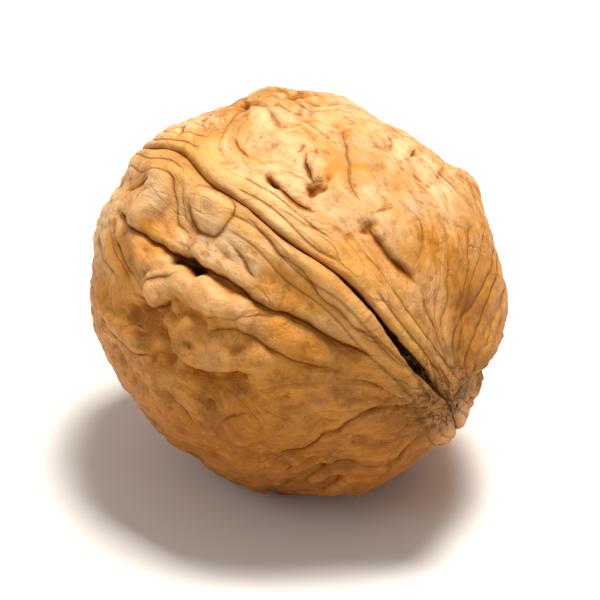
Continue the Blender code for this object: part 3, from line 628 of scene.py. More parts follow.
lumps = sum(height * smooth_field(body, length, SEED + turn) for turn, (height, length) in enumerate(LUMPS))
lumps *= (1 - LUMPS_LOST_ON_BAND * on_band) * (1 - LUMPS_LOST_AT_DRAWING * drawn_here)
relief = seam + drawn + coarse * coarse_share + fine * fine_share + lumps
lowest = body[np.argmin(body @ resting_turn[2])]
relief *= 1 - np.exp(-((np.linalg.norm(body - lowest, axis=1) / REST_CALM_REACH) ** 4))

edges = np.empty(len(shell_mesh.edges) * 2, np.int32)
shell_mesh.edges.foreach_get("vertices", edges)
edges = edges.reshape(-1, 2)
neighbours = np.bincount(edges.ravel(), minlength=len(body))


def blurred(values, rounds):
    """Values averaged with those of the neighbouring points, again and again."""
    for _ in range(rounds):
        spread = np.bincount(edges[:, 0], values[edges[:, 1]], len(values))
        spread += np.bincount(edges[:, 1], values[edges[:, 0]], len(values))
        values = (values + spread) / (neighbours + 1)
    return values


relief = (1 - SOFTENED) * relief + SOFTENED * blurred(relief, 1)
surface = (body + normals * relief[:, None]) @ resting_turn.T
surface[:, 2] = np.maximum(surface[:, 2] - surface[:, 2].min() - REST_SLICE, 0)
print("relief from", round(relief.min() / MM, 2), "to", round(relief.max() / MM, 2), "mm")

# %% [markdown]
# ## What the mesh tells its material
#
# The colour follows the form: the hollows get painted shade, and the ridges straw, partly as wear and partly
# as a painted highlight. The numbers that made the form are known here at each point, so they are stored on
# the mesh as attributes, in millimetres. A hollow is where the relief lies below its own blurred copy. The
# grain is the place in the nets' layout, which is how the material's streaks and hairlines know which way the
# shell grew. A few tones that belong to this nut alone are placed in the same drawing as the furrows, and with
# them painted light and shade, such as a flank painted lighter.

# %% Say where the shell is paler or darker, in its own tone and in painted light and shade
# Some tones are the shell's own. The others are painted light and shade: a painted highlight on the seam lip,
# painted light on the right flank, a painted shadow at the right low, and painted shade at the bottom and on
# the left flank.
# How pale, radius and middle, in millimetres of the drawing.
TONES_AND_PAINTED_LIGHT = {
    "left lens": (-1.9, 2.6, (-15.2, 4.2)),
    "top left": (-1.3, 3.5, (-9.5, 14)),
    "left flank": (-1.4, 3.5, (-18.5, 0.5)),
    "flake shade": (-0.9, 2.0, (-10.8, -1.2)),
    "scale": (0.9, 2.2, (-7.5, -5.3)),
    "first boss": (0.5, 2.0, (-13.8, 8.8)),
    "seam lip": (0.8, 2.4, (3.6, -1.6)),
    "seam lip middle": (0.5, 2.0, (-2.4, 4.2)),
    "right flank": (0.9, 3.0, (12.7, 8.3)),
    "right low": (-2.8, 3.0, (15, 0.2)),
    "tip side": (0.9, 1.8, (12, -4.2)),
    "bottom": (-2.0, 4.5, (-7, -14)),
    "low middle": (0.4, 2.2, (-10.8, -8.7)),
    "above the seam": (0.8, 2.2, (-0.1, 10.6)),
    "plate": (0.4, 2.2, (8, 4.7)),
}

tone_and_painted_light = np.zeros(len(body))
for tone, radius, middle in TONES_AND_PAINTED_LIGHT.values():
    far = np.linalg.norm(body - on_the_nut([middle]), axis=1)
    tone_and_painted_light += tone * np.exp(-((far / (radius * MM)) ** 2))
print("tones from", round(tone_and_painted_light.min(), 2), "to", round(tone_and_painted_light.max(), 2))

# %% Store the values on the mesh
FINE_BLUR = 6  # rounds of blurring
BROAD_BLUR = 70


def store(name, values):
    is_vector = values.ndim == 2
    layer = shell_mesh.attributes.new(name, "FLOAT_VECTOR" if is_vector else "FLOAT", "POINT")
    layer.data.foreach_set("vector" if is_vector else "value", values.astype(np.float32).ravel())


grain = pattern_place(body, directions)
broad_stray, stray_length = COARSE_NET["strays"][0]
grain += broad_stray * smooth_vectors(grain, stray_length, SEED + 3)
known = {
    "grain": grain / MM,
    "fine_hollow": (blurred(relief, FINE_BLUR) - relief) / MM,
    "broad_hollow": (blurred(relief, BROAD_BLUR) - relief) / MM,
    "coarse_furrow": coarse_furrow * coarse_share, "fine_furrow": fine_furrow * fine_share,
    "off_crack": off_crack / MM, "gape": gape, "sunk": sunk, "painted_hole_shadow": painted_hole_shadow, "tone_and_painted_light": tone_and_painted_light,
    "raised": raised, "stretches": stretches, "line_stray": line_stray / MM, "from_tip": from_tip}
for name, values in known.items():
    store(name, values)
for number, layer in enumerate(line_layers):
    store(f"line_off_{number}", layer["off"] / MM)
    store(f"line_depth_{number}", layer["depth"])
shell_mesh.vertices.foreach_set("co", surface.astype(np.float32).ravel())
shell_mesh.shade_smooth()
print("attributes:", len([layer for layer in shell_mesh.attributes if not layer.name.startswith(".")]))

# %% [markdown]
# ## Wrinkles and pores
#
# Between its lines the skin of the shell is finely wrinkled along the grain, and pitted with pores. That
# repeats all over, so it is a Geometry Nodes tree: it reads the grain, moves each point a few hundredths of a
# millimetre along its normal, and can be tried on another nut with other heights. Its values are inputs with
# names.

# %% Helpers for node trees


def make_node(tree, kind, values=None, **settings):
    """Adds a node; values go to sockets by name or number, and may be other nodes' outputs."""
    node = tree.nodes.new(kind)
    for name, setting in settings.items():
        setattr(node, name, setting)
    for socket, value in (values or {}).items():
        if isinstance(value, bpy.types.NodeSocket):
            tree.links.new(value, node.inputs[socket])
        else:
            node.inputs[socket].default_value = value
    return node


def new_shape_tree(name, inputs):
    """A Geometry Nodes tree with a geometry socket each way and these inputs, each with its kind."""
    tree = bpy.data.node_groups.new(name, "GeometryNodeTree")
    tree.interface.new_socket("Geometry", in_out="INPUT", socket_type="NodeSocketGeometry")
    tree.interface.new_socket("Geometry", in_out="OUTPUT", socket_type="NodeSocketGeometry")
    for label, kind in inputs.items():
        tree.interface.new_socket(label, in_out="INPUT", socket_type="NodeSocket" + kind)
    return tree, make_node(tree, "NodeGroupInput").outputs


def finish_shape_tree(tree, geometry, material):
    realized = make_node(tree, "GeometryNodeRealizeInstances", {"Geometry": geometry})
    coated = make_node(
        tree, "GeometryNodeSetMaterial", {"Geometry": realized.outputs[0], "Material": material})
    make_node(tree, "NodeGroupOutput", {"Geometry": coated.outputs[0]})


def grown(source, tree, choices, name):
    """Runs a tree on an object and gives its result as a plain mesh."""
    modifier = source.modifiers.new(tree.name, "NODES")
    modifier.node_group = tree
    for item in tree.interface.items_tree:
        if item.item_type == "SOCKET" and item.in_out == "INPUT" and item.name in choices:
            modifier[item.identifier] = choices[item.name]
    evaluated = source.evaluated_get(bpy.context.evaluated_depsgraph_get())
    mesh = bpy.data.meshes.new_from_object(evaluated)
    mesh.name = name
    source.modifiers.remove(modifier)
    return mesh


print("helpers ready")

# %% [markdown]
# The wrinkles are noise stretched along the grain. Between them the skin is dimpled like hammered leather,
# which a pattern of smooth cells gives: each cell is a small dent. Pores are the middles of smaller cells.

# %% Build the wrinkle tree
GRAIN_SQUEEZE = (0.42, 1, 1)  # wrinkles come out that much longer along the grain

wrinkles, given = new_shape_tree("shell_grain", {
    "Wrinkle height": "Float", "Wrinkles per mm": "Float", "Dimple depth": "Float", "Dimples per mm": "Float",
    "Pore depth": "Float", "Pores per mm": "Float", "Seed": "Float", "Material": "Material"})


def wrinkle_maths(operation, first, second=0.0):
    return make_node(wrinkles, "ShaderNodeMath", {0: first, 1: second}, operation=operation).outputs[0]


def wrinkle_range(value, low, high, to_low, to_high, easing="SMOOTHSTEP"):
    values = {0: value, 1: low, 2: high, 3: to_low, 4: to_high}
    return make_node(wrinkles, "ShaderNodeMapRange", values, interpolation_type=easing).outputs[0]


grain_read = make_node(
    wrinkles, "GeometryNodeInputNamedAttribute",
    {"Name": "grain"}, data_type="FLOAT_VECTOR").outputs["Attribute"]
along_grain = make_node(
    wrinkles, "ShaderNodeVectorMath", {0: grain_read, 1: GRAIN_SQUEEZE}, operation="MULTIPLY").outputs[0]
waves = make_node(
    wrinkles, "ShaderNodeTexNoise",
    {"Vector": along_grain, "W": given["Seed"], "Scale": given["Wrinkles per mm"], "Detail": 2.5},
    noise_dimensions="4D").outputs[0]
swell = wrinkle_range(waves, 0.2, 0.8, -1.0, 1.0, "LINEAR")
dents = make_node(
    wrinkles, "ShaderNodeTexVoronoi",
    {"Vector": grain_read, "W": given["Seed"], "Scale": given["Dimples per mm"], "Smoothness": 0.25},
    voronoi_dimensions="4D", feature="SMOOTH_F1").outputs["Distance"]
dent = wrinkle_range(dents, 0.1, 0.8, -1.0, 1.0, "LINEAR")
pore_cells = make_node(
    wrinkles, "ShaderNodeTexVoronoi",
    {"Vector": grain_read, "W": given["Seed"], "Scale": given["Pores per mm"]}, voronoi_dimensions="4D")
pore_hole = wrinkle_range(pore_cells.outputs["Distance"], 0.08, 0.3, -1.0, 0.0)
rise = wrinkle_maths("MULTIPLY", swell, given["Wrinkle height"])
rise = wrinkle_maths("ADD", rise, wrinkle_maths("MULTIPLY", dent, given["Dimple depth"]))
rise = wrinkle_maths("ADD", rise, wrinkle_maths("MULTIPLY", pore_hole, given["Pore depth"]))
outward = make_node(wrinkles, "GeometryNodeInputNormal").outputs[0]
offset = make_node(
    wrinkles, "ShaderNodeVectorMath", {0: outward, "Scale": rise}, operation="SCALE").outputs[0]
moved = make_node(wrinkles, "GeometryNodeSetPosition", {"Geometry": given["Geometry"], "Offset": offset})
finish_shape_tree(wrinkles, moved.outputs[0], given["Material"])
print("wrinkle tree:", len(wrinkles.nodes), "nodes")

# %% Grow the wrinkles
shell_material = bpy.data.materials.new("shell")
bare_shell = bpy.data.objects.new("bare_shell", shell_mesh)
bpy.context.scene.collection.objects.link(bare_shell)
wrinkled = grown(bare_shell, wrinkles, {
    "Wrinkle height": 0.07 * MM, "Wrinkles per mm": 0.85, "Dimple depth": 0.09 * MM, "Dimples per mm": 0.5,
    "Pore depth": 0.06 * MM, "Pores per mm": 0.75, "Seed": float(SEED), "Material": shell_material},
    "walnut_shell")
bpy.data.objects.remove(bare_shell)
print("wrinkled shell:", len(wrinkled.polygons), "faces, material", wrinkled.materials[0].name)

# %% [markdown]
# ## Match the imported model
#
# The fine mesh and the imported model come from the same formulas, yet smoothing and wrinkles shift the
# outermost points a little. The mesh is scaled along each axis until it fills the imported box, less a hair, so
# that size and place stay those of the model. The flat spot stays at height zero.

# %% Fit the mesh to the box
INSET = 0.02 * MM
ROOM_FOR_FIBRES = 0.3 * MM  # at the tip

points = np.empty(len(wrinkled.vertices) * 3)
wrinkled.vertices.foreach_get("co", points)
points = points.reshape(-1, 3)
low = np.array(shell_low) + [INSET, INSET, 0]
high = np.array(shell_high) - [INSET + ROOM_FOR_FIBRES, INSET, INSET]
stretch = (high - low) / (points.max(0) - points.min(0))
points = low + (points - points.min(0)) * stretch
wrinkled.vertices.foreach_set("co", points.astype(np.float32).ravel())
wrinkled.update()
shell = bpy.data.objects.new("walnut_shell", wrinkled)
bpy.context.scene.collection.objects.link(shell)
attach(shell, "root")
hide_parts("walnut")
print("stretched by", stretch.round(4))

# %% [markdown]
# ## Fibres at the tip and the stem
#
# When the husk comes off, it leaves a few torn fibres where it held the nut: at the point, in the end of the
# open crack, and round the scar of the stem. They are short stiff hairs with a bend. A second Geometry Nodes
# tree scatters them over the shell, as thickly as an attribute says, leans each its own way and scales it.

# %% Say where fibres grow
TUFT = 0.13  # radians round the tip
STEM_SCAR = 0.17  # radians from the stem end to the ring of fibres there
STEM_SCAR_WIDTH = 0.05
THIN_AT_STEM = 0.35  # how thickly fibres stand there, against 1 at the tip
THIN_IN_CRACK = 0.5
CRACK_FIBRES_END = 0.35  # radians from the tip
CRACK_FIBRES_REACH = 0.5 * MM
OPEN_ENOUGH = 0.15  # of the widest gape

from_stem = math.pi - from_tip
tuft = np.exp(-((from_tip / TUFT) ** 4))
tuft += THIN_AT_STEM * np.exp(-(((from_stem - STEM_SCAR) / STEM_SCAR_WIDTH) ** 2))
in_crack = (gape > OPEN_ENOUGH) * (np.abs(off_crack) < CRACK_FIBRES_REACH) * (from_tip < CRACK_FIBRES_END)
tuft += THIN_IN_CRACK * in_crack
layer = wrinkled.attributes.new("tuft", "FLOAT", "POINT")
layer.data.foreach_set("value", tuft.astype(np.float32))
print("share of the shell with fibres:", round(float((tuft > 0.1).mean()), 3))

# %% Build the fibre tree
SIDES = 4
BENDS = 5  # pieces along a fibre's curve
STALK_ROOT = (0, 0, -0.15)  # the curve of a fibre about 1 high, which the tree then scales
STALK_BEND = (0.05, 0, 0.5)
STALK_END = (0.45, 0, 0.9)
END_RADIUS = 0.25  # against 1 at the root

fibres_tree, given = new_shape_tree("husk_fibres", {
    "Fibres per square metre": "Float", "Shortest": "Float", "Longest": "Float", "Slimness": "Float",
    "Lean": "Float", "Seed": "Int", "Material": "Material"})


def fibre_node(kind, values=None, **settings):
    return make_node(fibres_tree, kind, values, **settings)


def fibre_draw(kind, low, high, number):
    """A random value for each fibre."""
    values = {"Min": low, "Max": high, "ID": fibre_node("GeometryNodeInputIndex").outputs[0], "Seed": number}
    node = fibre_node("FunctionNodeRandomValue", data_type=kind)
    sockets = {item.name: item for item in node.inputs if item.enabled}
    for name, value in values.items():
        if isinstance(value, bpy.types.NodeSocket):
            fibres_tree.links.new(value, sockets[name])
        else:
            sockets[name].default_value = value
    return next(item for item in node.outputs if item.enabled)


tuft_read = fibre_node("GeometryNodeInputNamedAttribute", {"Name": "tuft"}, data_type="FLOAT")
where = tuft_read.outputs["Attribute"]
density = fibre_node("ShaderNodeMath", {0: where, 1: given["Fibres per square metre"]}, operation="MULTIPLY")
roots = fibre_node(
    "GeometryNodeDistributePointsOnFaces",
    {"Mesh": given["Geometry"], "Density": density.outputs[0], "Seed": given["Seed"]})
stalk = fibre_node("GeometryNodeCurveQuadraticBezier", {
    "Resolution": BENDS, "Start": STALK_ROOT, "Middle": STALK_BEND, "End": STALK_END})
along = fibre_node("GeometryNodeSplineParameter").outputs["Factor"]
taper = fibre_node("ShaderNodeMapRange", {0: along, 1: 0.0, 2: 1.0, 3: 1.0, 4: END_RADIUS})
tapered = fibre_node("GeometryNodeSetCurveRadius", {"Curve": stalk.outputs[0], "Radius": taper.outputs[0]})
ring = fibre_node("GeometryNodeCurvePrimitiveCircle", {"Resolution": SIDES, "Radius": given["Slimness"]})
fibre = fibre_node("GeometryNodeCurveToMesh", {
    "Curve": tapered.outputs[0], "Profile Curve": ring.outputs[0], "Fill Caps": True})
negative_lean = fibre_node("ShaderNodeMath", {0: given["Lean"], 1: -1.0}, operation="MULTIPLY").outputs[0]
lean_least = fibre_node("ShaderNodeCombineXYZ", {0: negative_lean, 1: negative_lean, 2: -math.pi}).outputs[0]
lean_most = fibre_node("ShaderNodeCombineXYZ", {0: given["Lean"], 1: given["Lean"], 2: math.pi}).outputs[0]
turned = fibre_node("FunctionNodeRotateRotation", {
    "Rotation": roots.outputs["Rotation"], "Rotate By": fibre_draw("FLOAT_VECTOR", lean_least, lean_most, 1)},
    rotation_space="LOCAL")
planted = fibre_node("GeometryNodeInstanceOnPoints", {
    "Points": roots.outputs["Points"], "Instance": fibre.outputs[0], "Rotation": turned.outputs[0],
    "Scale": fibre_draw("FLOAT", given["Shortest"], given["Longest"], 2)})
finish_shape_tree(fibres_tree, planted.outputs[0], given["Material"])
print("fibre tree:", len(fibres_tree.nodes), "nodes")

# %% [markdown]
# The fibres are the outermost thing at the tip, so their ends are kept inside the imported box.

# %% Grow the fibres
fibre_material = bpy.data.materials.new("husk_fibre")
fibres_mesh = grown(shell, fibres_tree, {
    "Fibres per square metre": 5e6, "Shortest": 0.3 * MM, "Longest": 0.85 * MM, "Slimness": 0.06, "Lean": 1.0,
    "Seed": SEED, "Material": fibre_material}, "husk_fibres")
ends = np.empty(len(fibres_mesh.vertices) * 3)
fibres_mesh.vertices.foreach_get("co", ends)
ends = np.clip(ends.reshape(-1, 3), np.array(shell_low) + INSET, np.array(shell_high) - INSET)
fibres_mesh.vertices.foreach_set("co", ends.astype(np.float32).ravel())
fibres_mesh.shade_smooth()
fibres = bpy.data.objects.new("husk_fibres", fibres_mesh)
bpy.context.scene.collection.objects.link(fibres)
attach(fibres, "root")
print("fibres:", len(fibres_mesh.polygons), "faces")

# %% [markdown]
# ## Colour of the shell
#
# The shell is stained wood: straw on the ridges and the top, tan over most of it, honey along the seam, amber
# and rust in the furrows, and nearly black in the crack. The straw is partly wear and partly painted light. The
# colour is built up in layers. Broad patches come first, then streaks along the grain, a film of dust and fine
# mottling, then painted shade in the hollows and stain in the furrows, and last the lines. The top is painted
# lighter and the underside darker, with umber blots, as painted light and shade. All lengths in the tree are
# millimetres.

# %% Helpers for the material


def maths(operation, *values, clamp=False):
    settings = {"operation": operation, "use_clamp": clamp}
    return make_node(skin, "ShaderNodeMath", dict(enumerate(values)), **settings).outputs[0]


def eased(value, low, high, to_low=0.0, to_high=1.0):
    """Goes smoothly from one value to the other while the first number goes from low to high."""
    values = {0: value, 1: low, 2: high, 3: to_low, 4: to_high}
    return make_node(skin, "ShaderNodeMapRange", values, interpolation_type="SMOOTHSTEP").outputs[0]


def laid_over(under, tone, *shares):
    """A colour with a tone over it; where there are several shares, they multiply."""
    share = shares[0]
    for other in shares[1:]:
        share = maths("MULTIPLY", share, other)
    values = {0: share, 6: under, 7: tone}
    return make_node(skin, "ShaderNodeMix", values, data_type="RGBA").outputs[2]


def noise(place, wavelength, detail=2.0, roughness=0.5):
    """Cloudy noise about 0.5, with its wavelength in millimetres."""
    values = {"Vector": place, "Scale": 1 / wavelength, "Detail": detail, "Roughness": roughness}
    return make_node(skin, "ShaderNodeTexNoise", values).outputs[0]


def stored(name):
    return make_node(skin, "ShaderNodeAttribute", attribute_name=name).outputs["Fac"]


def scaled(place, factors):
    return make_node(skin, "ShaderNodeVectorMath", {0: place, 1: factors}, operation="MULTIPLY").outputs[0]


shell_material.use_nodes = True
skin = shell_material.node_tree
finish = skin.nodes["Principled BSDF"]
print("material helpers ready")

# %% Base tones, streaks and mottling
STRAW = (0.81, 0.53, 0.27, 1)
TAN = (0.69, 0.37, 0.135, 1)
AMBER = (0.59, 0.235, 0.027, 1)
RUST = (0.34, 0.105, 0.009, 1)
UMBER = (0.12, 0.036, 0.007, 1)
CRACK_BROWN = (0.022, 0.008, 0.003, 1)
DUST = (0.50, 0.33, 0.18, 1)
HONEY = (0.80, 0.40, 0.10, 1)
PAINTED_LIGHT_SIDE = (-0.37, 0.29, 0.88)  # the colour is painted lighter this way and darker the other way, as light from above and shade beneath
TONE_STEP = 4.0  # a tone of 1 pales the shell as much as this many millimetres nearer the painted light

# How broad the patterns are, in millimetres.
PATCH_SIZE = 9.0
STREAK_WIDTH = 0.9
DUST_SIZE = 3.2
MOTTLE_SIZE = 1.4
BLOT_SIZE = 3.2

object_place = make_node(skin, "ShaderNodeTexCoord").outputs["Object"]
place = scaled(object_place, (1 / MM,) * 3)
grain_in_mm = make_node(skin, "ShaderNodeAttribute", attribute_name="grain").outputs["Vector"]

# The tone table also sets the base tones, together with its painted light and shade.
patches = maths("MULTIPLY_ADD", stored("tone_and_painted_light"), 0.12, noise(place, PATCH_SIZE, 3.0, 0.55))
colour = laid_over(AMBER, TAN, eased(patches, 0.38, 0.54))
colour = laid_over(colour, STRAW, eased(patches, 0.47, 0.62), 0.8)
# Painted light and shade: the top is painted lighter and the underside darker, in amber and rust, as if lit
# from above.
toward_painted_light = make_node(
    skin, "ShaderNodeVectorMath", {0: place, 1: PAINTED_LIGHT_SIDE}, operation="DOT_PRODUCT").outputs["Value"]
shade = maths("MULTIPLY_ADD", stored("tone_and_painted_light"), TONE_STEP, toward_painted_light)
painted_top_light = eased(shade, 8.0, 20.0, 0.05, 1.0)
colour = laid_over(colour, AMBER, eased(shade, 20.0, 9.0, 0, 0.88))
colour = laid_over(colour, RUST, eased(shade, 12.5, -2.0, 0, 0.9))
streaks = noise(scaled(grain_in_mm, (0.2, 1, 1)), STREAK_WIDTH, 4.0, 0.6)
colour = laid_over(colour, AMBER, eased(streaks, 0.52, 0.36, 0, 0.45))
# The straw streaks, the dust and the pale mottling are laid only on the top, as painted light.
colour = laid_over(colour, STRAW, eased(streaks, 0.52, 0.70, 0, 0.45), painted_top_light)
dusty = noise(scaled(place, (1, 1, -1)), DUST_SIZE, 4.0, 0.65)
colour = laid_over(colour, DUST, eased(dusty, 0.5, 0.66, 0, 0.5), painted_top_light)
mottle = noise(place, MOTTLE_SIZE, 6.0, 0.7)
colour = laid_over(colour, RUST, eased(mottle, 0.5, 0.34, 0, 0.6))
colour = laid_over(colour, STRAW, eased(mottle, 0.54, 0.74, 0, 0.3), painted_top_light)
# Painted shade: umber blots darken the underside.
painted_underside_shade = maths("SUBTRACT", 1.0, painted_top_light)
shade_blots = noise(place, BLOT_SIZE, 5.0, 0.7)
colour = laid_over(colour, UMBER, eased(shade_blots, 0.54, 0.36, 0, 0.45), painted_underside_shade)
print("base colour takes", len(skin.nodes), "nodes")

# %% [markdown]
# Painted shade gathers where the surface is low. The fine hollow catches the furrows' own bottoms, and the
# broad one the ground round them. Ridges go the other way, to straw, partly as wear and partly as a painted
# highlight.
# A noise breaks both up, so that neither covers evenly.

# %% Painted shade in the hollows, wear and painted highlight on the ridges
UNEVEN_SIZE = 2.6

fine_hollow = stored("fine_hollow")
broad_hollow = stored("broad_hollow")
uneven = noise(place, UNEVEN_SIZE, 4.0, 0.6)
uneven_share = eased(uneven, 0.3, 0.65, 0.45, 1.0)
# Painted shade: amber, rust and umber darken the hollows.
colour = laid_over(colour, AMBER, eased(broad_hollow, -0.05, 0.5, 0, 0.8), uneven_share)
colour = laid_over(colour, RUST, eased(broad_hollow, 0.15, 0.75, 0, 0.75), uneven_share)
colour = laid_over(colour, RUST, eased(fine_hollow, 0.01, 0.09, 0, 0.85), uneven_share)
colour = laid_over(colour, UMBER, eased(fine_hollow, 0.08, 0.25, 0, 0.85), uneven_share)
# The ridges are paler: partly wear, partly a painted highlight, and only on the top.
wear_and_highlight = maths("MULTIPLY", eased(fine_hollow, -0.01, -0.07, 0, 0.5), eased(uneven, 0.65, 0.35))
wear_and_highlight = maths("MAXIMUM", wear_and_highlight, eased(stored("raised"), 0.1, 0.7, 0, 0.5))
colour = laid_over(colour, STRAW, wear_and_highlight, painted_top_light)
off_crack_mm = stored("off_crack")
crack_far = maths("ABSOLUTE", off_crack_mm)
colour = laid_over(colour, HONEY, eased(crack_far, 3.6, 1.2, 0, 0.6), uneven_share)
furrow_stain = maths("MAXIMUM", stored("coarse_furrow"), maths("MULTIPLY", stored("fine_furrow"), 0.8))
colour = laid_over(colour, UMBER, eased(furrow_stain, 0.3, 0.9, 0, 0.5), uneven_share)
# Painted shade: the drawn hollows are darkened in rust by their depth.
colour = laid_over(colour, RUST, eased(stored("sunk"), 0.2, 1.2, 0, 0.75))
# Painted shadow: the deepest hole is painted nearly black.
colour = laid_over(colour, CRACK_BROWN, eased(stored("painted_hole_shadow"), 0.2, 0.5))
print("with stain and wear:", len(skin.nodes), "nodes")

# %% [markdown]
# The finest lines are thinner than the mesh's faces. The hairlines are borders of small stretched cells in
# the grain, kept only in patches. The drawn furrows and the crack come from their stored distances: the
# distance is smooth across a face, so a limit on it makes a line of a tenth of a millimetre with clean edges.
# A noise in the width makes each line swell and fade. Shallow lines are only rust, and deep ones umber.

# %% Hairlines and drawn lines
JITTER_SIZE = 1.1
HAIRLINE_PATCH_SIZE = 3.4

jitter = noise(place, JITTER_SIZE, 3.0, 0.6)
bent_by = make_node(
    skin, "ShaderNodeTexNoise", {"Vector": grain_in_mm, "Scale": 0.5, "Detail": 3.0}).outputs["Color"]
bent_grain = make_node(
    skin, "ShaderNodeVectorMath", {0: bent_by, 1: (1.2, 1.2, 1.2), 2: scaled(grain_in_mm, (0.5, 1, 1))},
    operation="MULTIPLY_ADD").outputs[0]
borders = make_node(
    skin, "ShaderNodeTexVoronoi", {"Vector": bent_grain, "Scale": 0.5}, feature="DISTANCE_TO_EDGE").outputs[0]
hairline_here = eased(noise(place, HAIRLINE_PATCH_SIZE, 3.0), 0.46, 0.62)
hairlines = maths("MULTIPLY", eased(borders, 0.01, 0.07, 1, 0), hairline_here)
colour = laid_over(colour, RUST, hairlines, 0.35)

line_width = eased(jitter, 0.3, 0.7, 0.65, 1.35)
dark_core = 0.0
for number in range(len(line_layers)):
    off = maths("DIVIDE", maths("ABSOLUTE", stored(f"line_off_{number}")), line_width)
    depth = stored(f"line_depth_{number}")
    halo = maths("MULTIPLY", eased(off, 0.08, 0.55, 0.55, 0), eased(depth, 0.05, 0.5))
    colour = laid_over(colour, RUST, halo)
    core = maths("MULTIPLY", eased(off, 0.02, 0.18, 1, 0), eased(depth, 0.02, 0.6, 0.12, 1.0))
    dark_core = maths("MAXIMUM", dark_core, maths("MULTIPLY", core, eased(depth, 0.0, 0.1)))
colour = laid_over(colour, UMBER, maths("MULTIPLY", dark_core, eased(uneven, 0.25, 0.5, 0.65, 1.0)))
print("with drawn lines:", len(skin.nodes), "nodes")

# %% [markdown]
# The crack is drawn the same way. It is a rust-brown hair at the stem end, and widens to the black slot near
# the tip. The lines beside it are finer and paler still.

# %% The crack and the lines beside it
gape_here = stored("gape")
crack_wide = maths("MULTIPLY_ADD", gape_here, GAPE_HALF_WIDTH / MM, 0.05)
crack_wide = maths("MULTIPLY", crack_wide, eased(jitter, 0.3, 0.7, 0.85, 1.15))
crack_core = eased(maths("SUBTRACT", crack_far, crack_wide), -0.05, 0.07, 1, 0)
colour = laid_over(colour, RUST, eased(crack_far, 0.1, 0.8, 0.55, 0))
beside_core = 0.0
for beside, depth in SEAM_LINES:
    beside_far = maths("SUBTRACT", maths("SUBTRACT", off_crack_mm, beside / MM), stored("line_stray"))
    line = eased(maths("ABSOLUTE", beside_far), 0.03, 0.17, 1, 0)
    beside_core = maths("MAXIMUM", beside_core, maths("MULTIPLY", line, eased(stored("stretches"), 0.3, 0.9)))
colour = laid_over(colour, UMBER, beside_core, 0.5)
colour = laid_over(colour, UMBER, maths("MULTIPLY", crack_core, eased(gape_here, 0.0, 0.12, 0.8, 1.0)))
colour = laid_over(colour, CRACK_BROWN, maths("MULTIPLY", crack_core, eased(gape_here, 0.03, 0.3)))
print("with the crack:", len(skin.nodes), "nodes")

# %% [markdown]
# The tip is weathered and brown, since the last of the husk clings there, in streaks that run together at the
# point. Specks of husk are left all over.

# %% Tip and specks
TIP_BROWN = (0.15, 0.056, 0.016, 1)
SPECK_PATCH_SIZE = 2.2

tip_streaks = eased(streaks, 0.6, 0.4, 0.35, 1.0)
tip_here = maths("MULTIPLY", eased(stored("from_tip"), 0.12, 0.40, 0.97, 0), tip_streaks)
colour = laid_over(colour, TIP_BROWN, tip_here)
specks_at = make_node(skin, "ShaderNodeTexVoronoi", {"Vector": place, "Scale": 1.3}).outputs["Distance"]
speck_patches = eased(noise(place, SPECK_PATCH_SIZE), 0.52, 0.64)
specks = maths("MULTIPLY", eased(specks_at, 0.06, 0.16, 1, 0), speck_patches)
colour = laid_over(colour, RUST, specks, 0.5)
print("specks and tip done")

# %% [markdown]
# ## Sheen and fine relief
#
# Rubbed ridges have a soft sheen, and the dusty furrows have none. The bump carries only what is finer than
# the mesh: grain, tooth, hairlines and the cores of the lines. Its heights are millimetres, like the
# distances, so the whole tree can be read with a ruler.

# %% Roughness and bump
BUMP_HEIGHTS = [(mottle, 0.14), (streaks, 0.05), (hairlines, -0.05), (specks, -0.03), (dark_core, -0.14),
                (beside_core, -0.07), (crack_core, -0.2)]
TOOTH_SIZE = 0.35
TOOTH_HEIGHT = 0.13

roughness = eased(mottle, 0.35, 0.65, 0.62, 0.48)
roughness = maths("ADD", roughness, eased(fine_hollow, 0.0, 0.15, 0, 0.25))
roughness = maths("MULTIPLY_ADD", maths("MAXIMUM", dark_core, crack_core), 0.2, roughness, clamp=True)
tooth = noise(scaled(grain_in_mm, (0.75, 1, 1)), TOOTH_SIZE, 4.0, 0.7)
height = maths("MULTIPLY", tooth, TOOTH_HEIGHT)
for pattern, rise in BUMP_HEIGHTS:
    height = maths("MULTIPLY_ADD", pattern, rise, height)
bump = make_node(skin, "ShaderNodeBump", {"Strength": 1.0, "Distance": MM, "Height": height})

finish.inputs["Metallic"].default_value = 0.0
finish.inputs["Specular IOR Level"].default_value = 0.16
skin.links.new(colour, finish.inputs["Base Color"])
skin.links.new(roughness, finish.inputs["Roughness"])
skin.links.new(bump.outputs[0], finish.inputs["Normal"])
print("shell material:", len(skin.nodes), "nodes")

# %% [markdown]
# ## Colour of the fibres
#
# Dry husk is greyer than the shell, and each fibre differs a little, so one slow noise picks between two
# browns.

# %% Finish the fibres
HUSK_PALE = (0.30, 0.16, 0.06, 1)
HUSK_DARK = (0.12, 0.055, 0.02, 1)

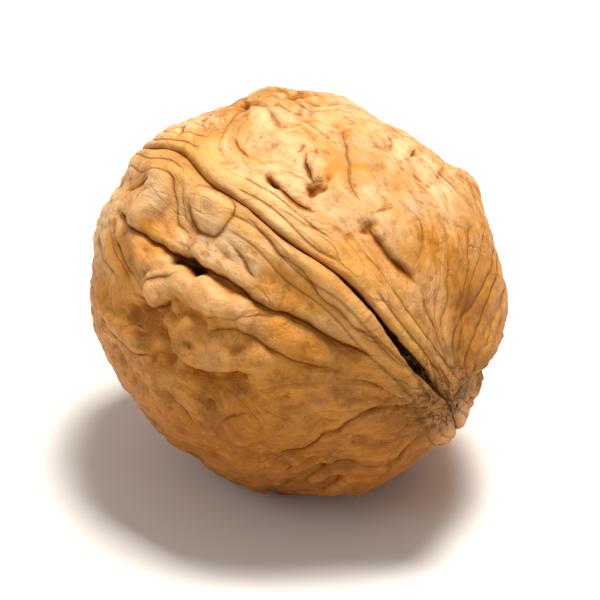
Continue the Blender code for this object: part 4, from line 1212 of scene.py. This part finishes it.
fibre_material.use_nodes = True
skin = fibre_material.node_tree
finish = skin.nodes["Principled BSDF"]
fibre_place = scaled(make_node(skin, "ShaderNodeTexCoord").outputs["Object"], (1 / MM,) * 3)
tone = noise(fibre_place, 0.5, 2.0)
skin.links.new(laid_over(HUSK_DARK, HUSK_PALE, eased(tone, 0.35, 0.65)), finish.inputs["Base Color"])
skin.links.new(eased(tone, 0.3, 0.7, 0.9, 0.7), finish.inputs["Roughness"])
rough_skin = make_node(skin, "ShaderNodeBump", {
    "Strength": 1.0, "Distance": MM, "Height": maths("MULTIPLY", noise(fibre_place, 0.1, 2.0), 0.01)})
skin.links.new(rough_skin.outputs[0], finish.inputs["Normal"])
print("fibre material:", len(skin.nodes), "nodes")

# %% [markdown]
# ## Floor, light and surroundings
#
# The nut lies on a plain pale sheet, as in a product photo. A soft key nearly overhead, a little behind the
# nut and to its right, draws the furrows without hard shadows. A broad weak lamp at the front left and a
# pale room fill the rest, so the sheet stays nearly white.

# %% Set up the studio
FLOOR_SIZE = 3.0
FLOOR_WHITE = (0.9, 0.885, 0.86, 1)
ROOM_WHITE = (1.0, 0.96, 0.90, 1)
ROOM_STRENGTH = 0.29
KEY_WHITE = (1.0, 0.965, 0.92)

bpy.ops.mesh.primitive_plane_add(size=FLOOR_SIZE)
floor = bpy.context.object
floor.name = "floor"
paper = bpy.data.materials.new("paper")
paper.use_nodes = True
paper_finish = paper.node_tree.nodes["Principled BSDF"]
paper_finish.inputs["Base Color"].default_value = FLOOR_WHITE
paper_finish.inputs["Roughness"].default_value = 0.6
floor.data.materials.append(paper)

world = bpy.data.worlds.new("room")
world.use_nodes = True
world.node_tree.nodes["Background"].inputs["Color"].default_value = ROOM_WHITE
world.node_tree.nodes["Background"].inputs["Strength"].default_value = ROOM_STRENGTH
bpy.context.scene.world = world


def softbox(name, right, up, back, side, watts, tone=(1, 1, 1)):
    """A square lamp that faces the nut, placed in metres along the view's own axes."""
    lamp = bpy.data.lights.new(name, "AREA")
    lamp.shape = "SQUARE"
    lamp.size = side
    lamp.energy = watts
    lamp.color = tone
    stand = bpy.data.objects.new(name, lamp)
    bpy.context.scene.collection.objects.link(stand)
    stand.location = nut_middle + view_right * right + view_up * up + view_back * back
    stand.rotation_mode = "QUATERNION"
    stand.rotation_quaternion = (stand.location - nut_middle).to_track_quat("Z", "Y")


softbox("key", right=0.05, up=0.30, back=0.11, side=0.11, watts=1.7, tone=KEY_WHITE)
softbox("fill", right=-0.26, up=0.06, back=0.26, side=0.30, watts=0.30)
bpy.context.scene.view_settings.view_transform = "Standard"
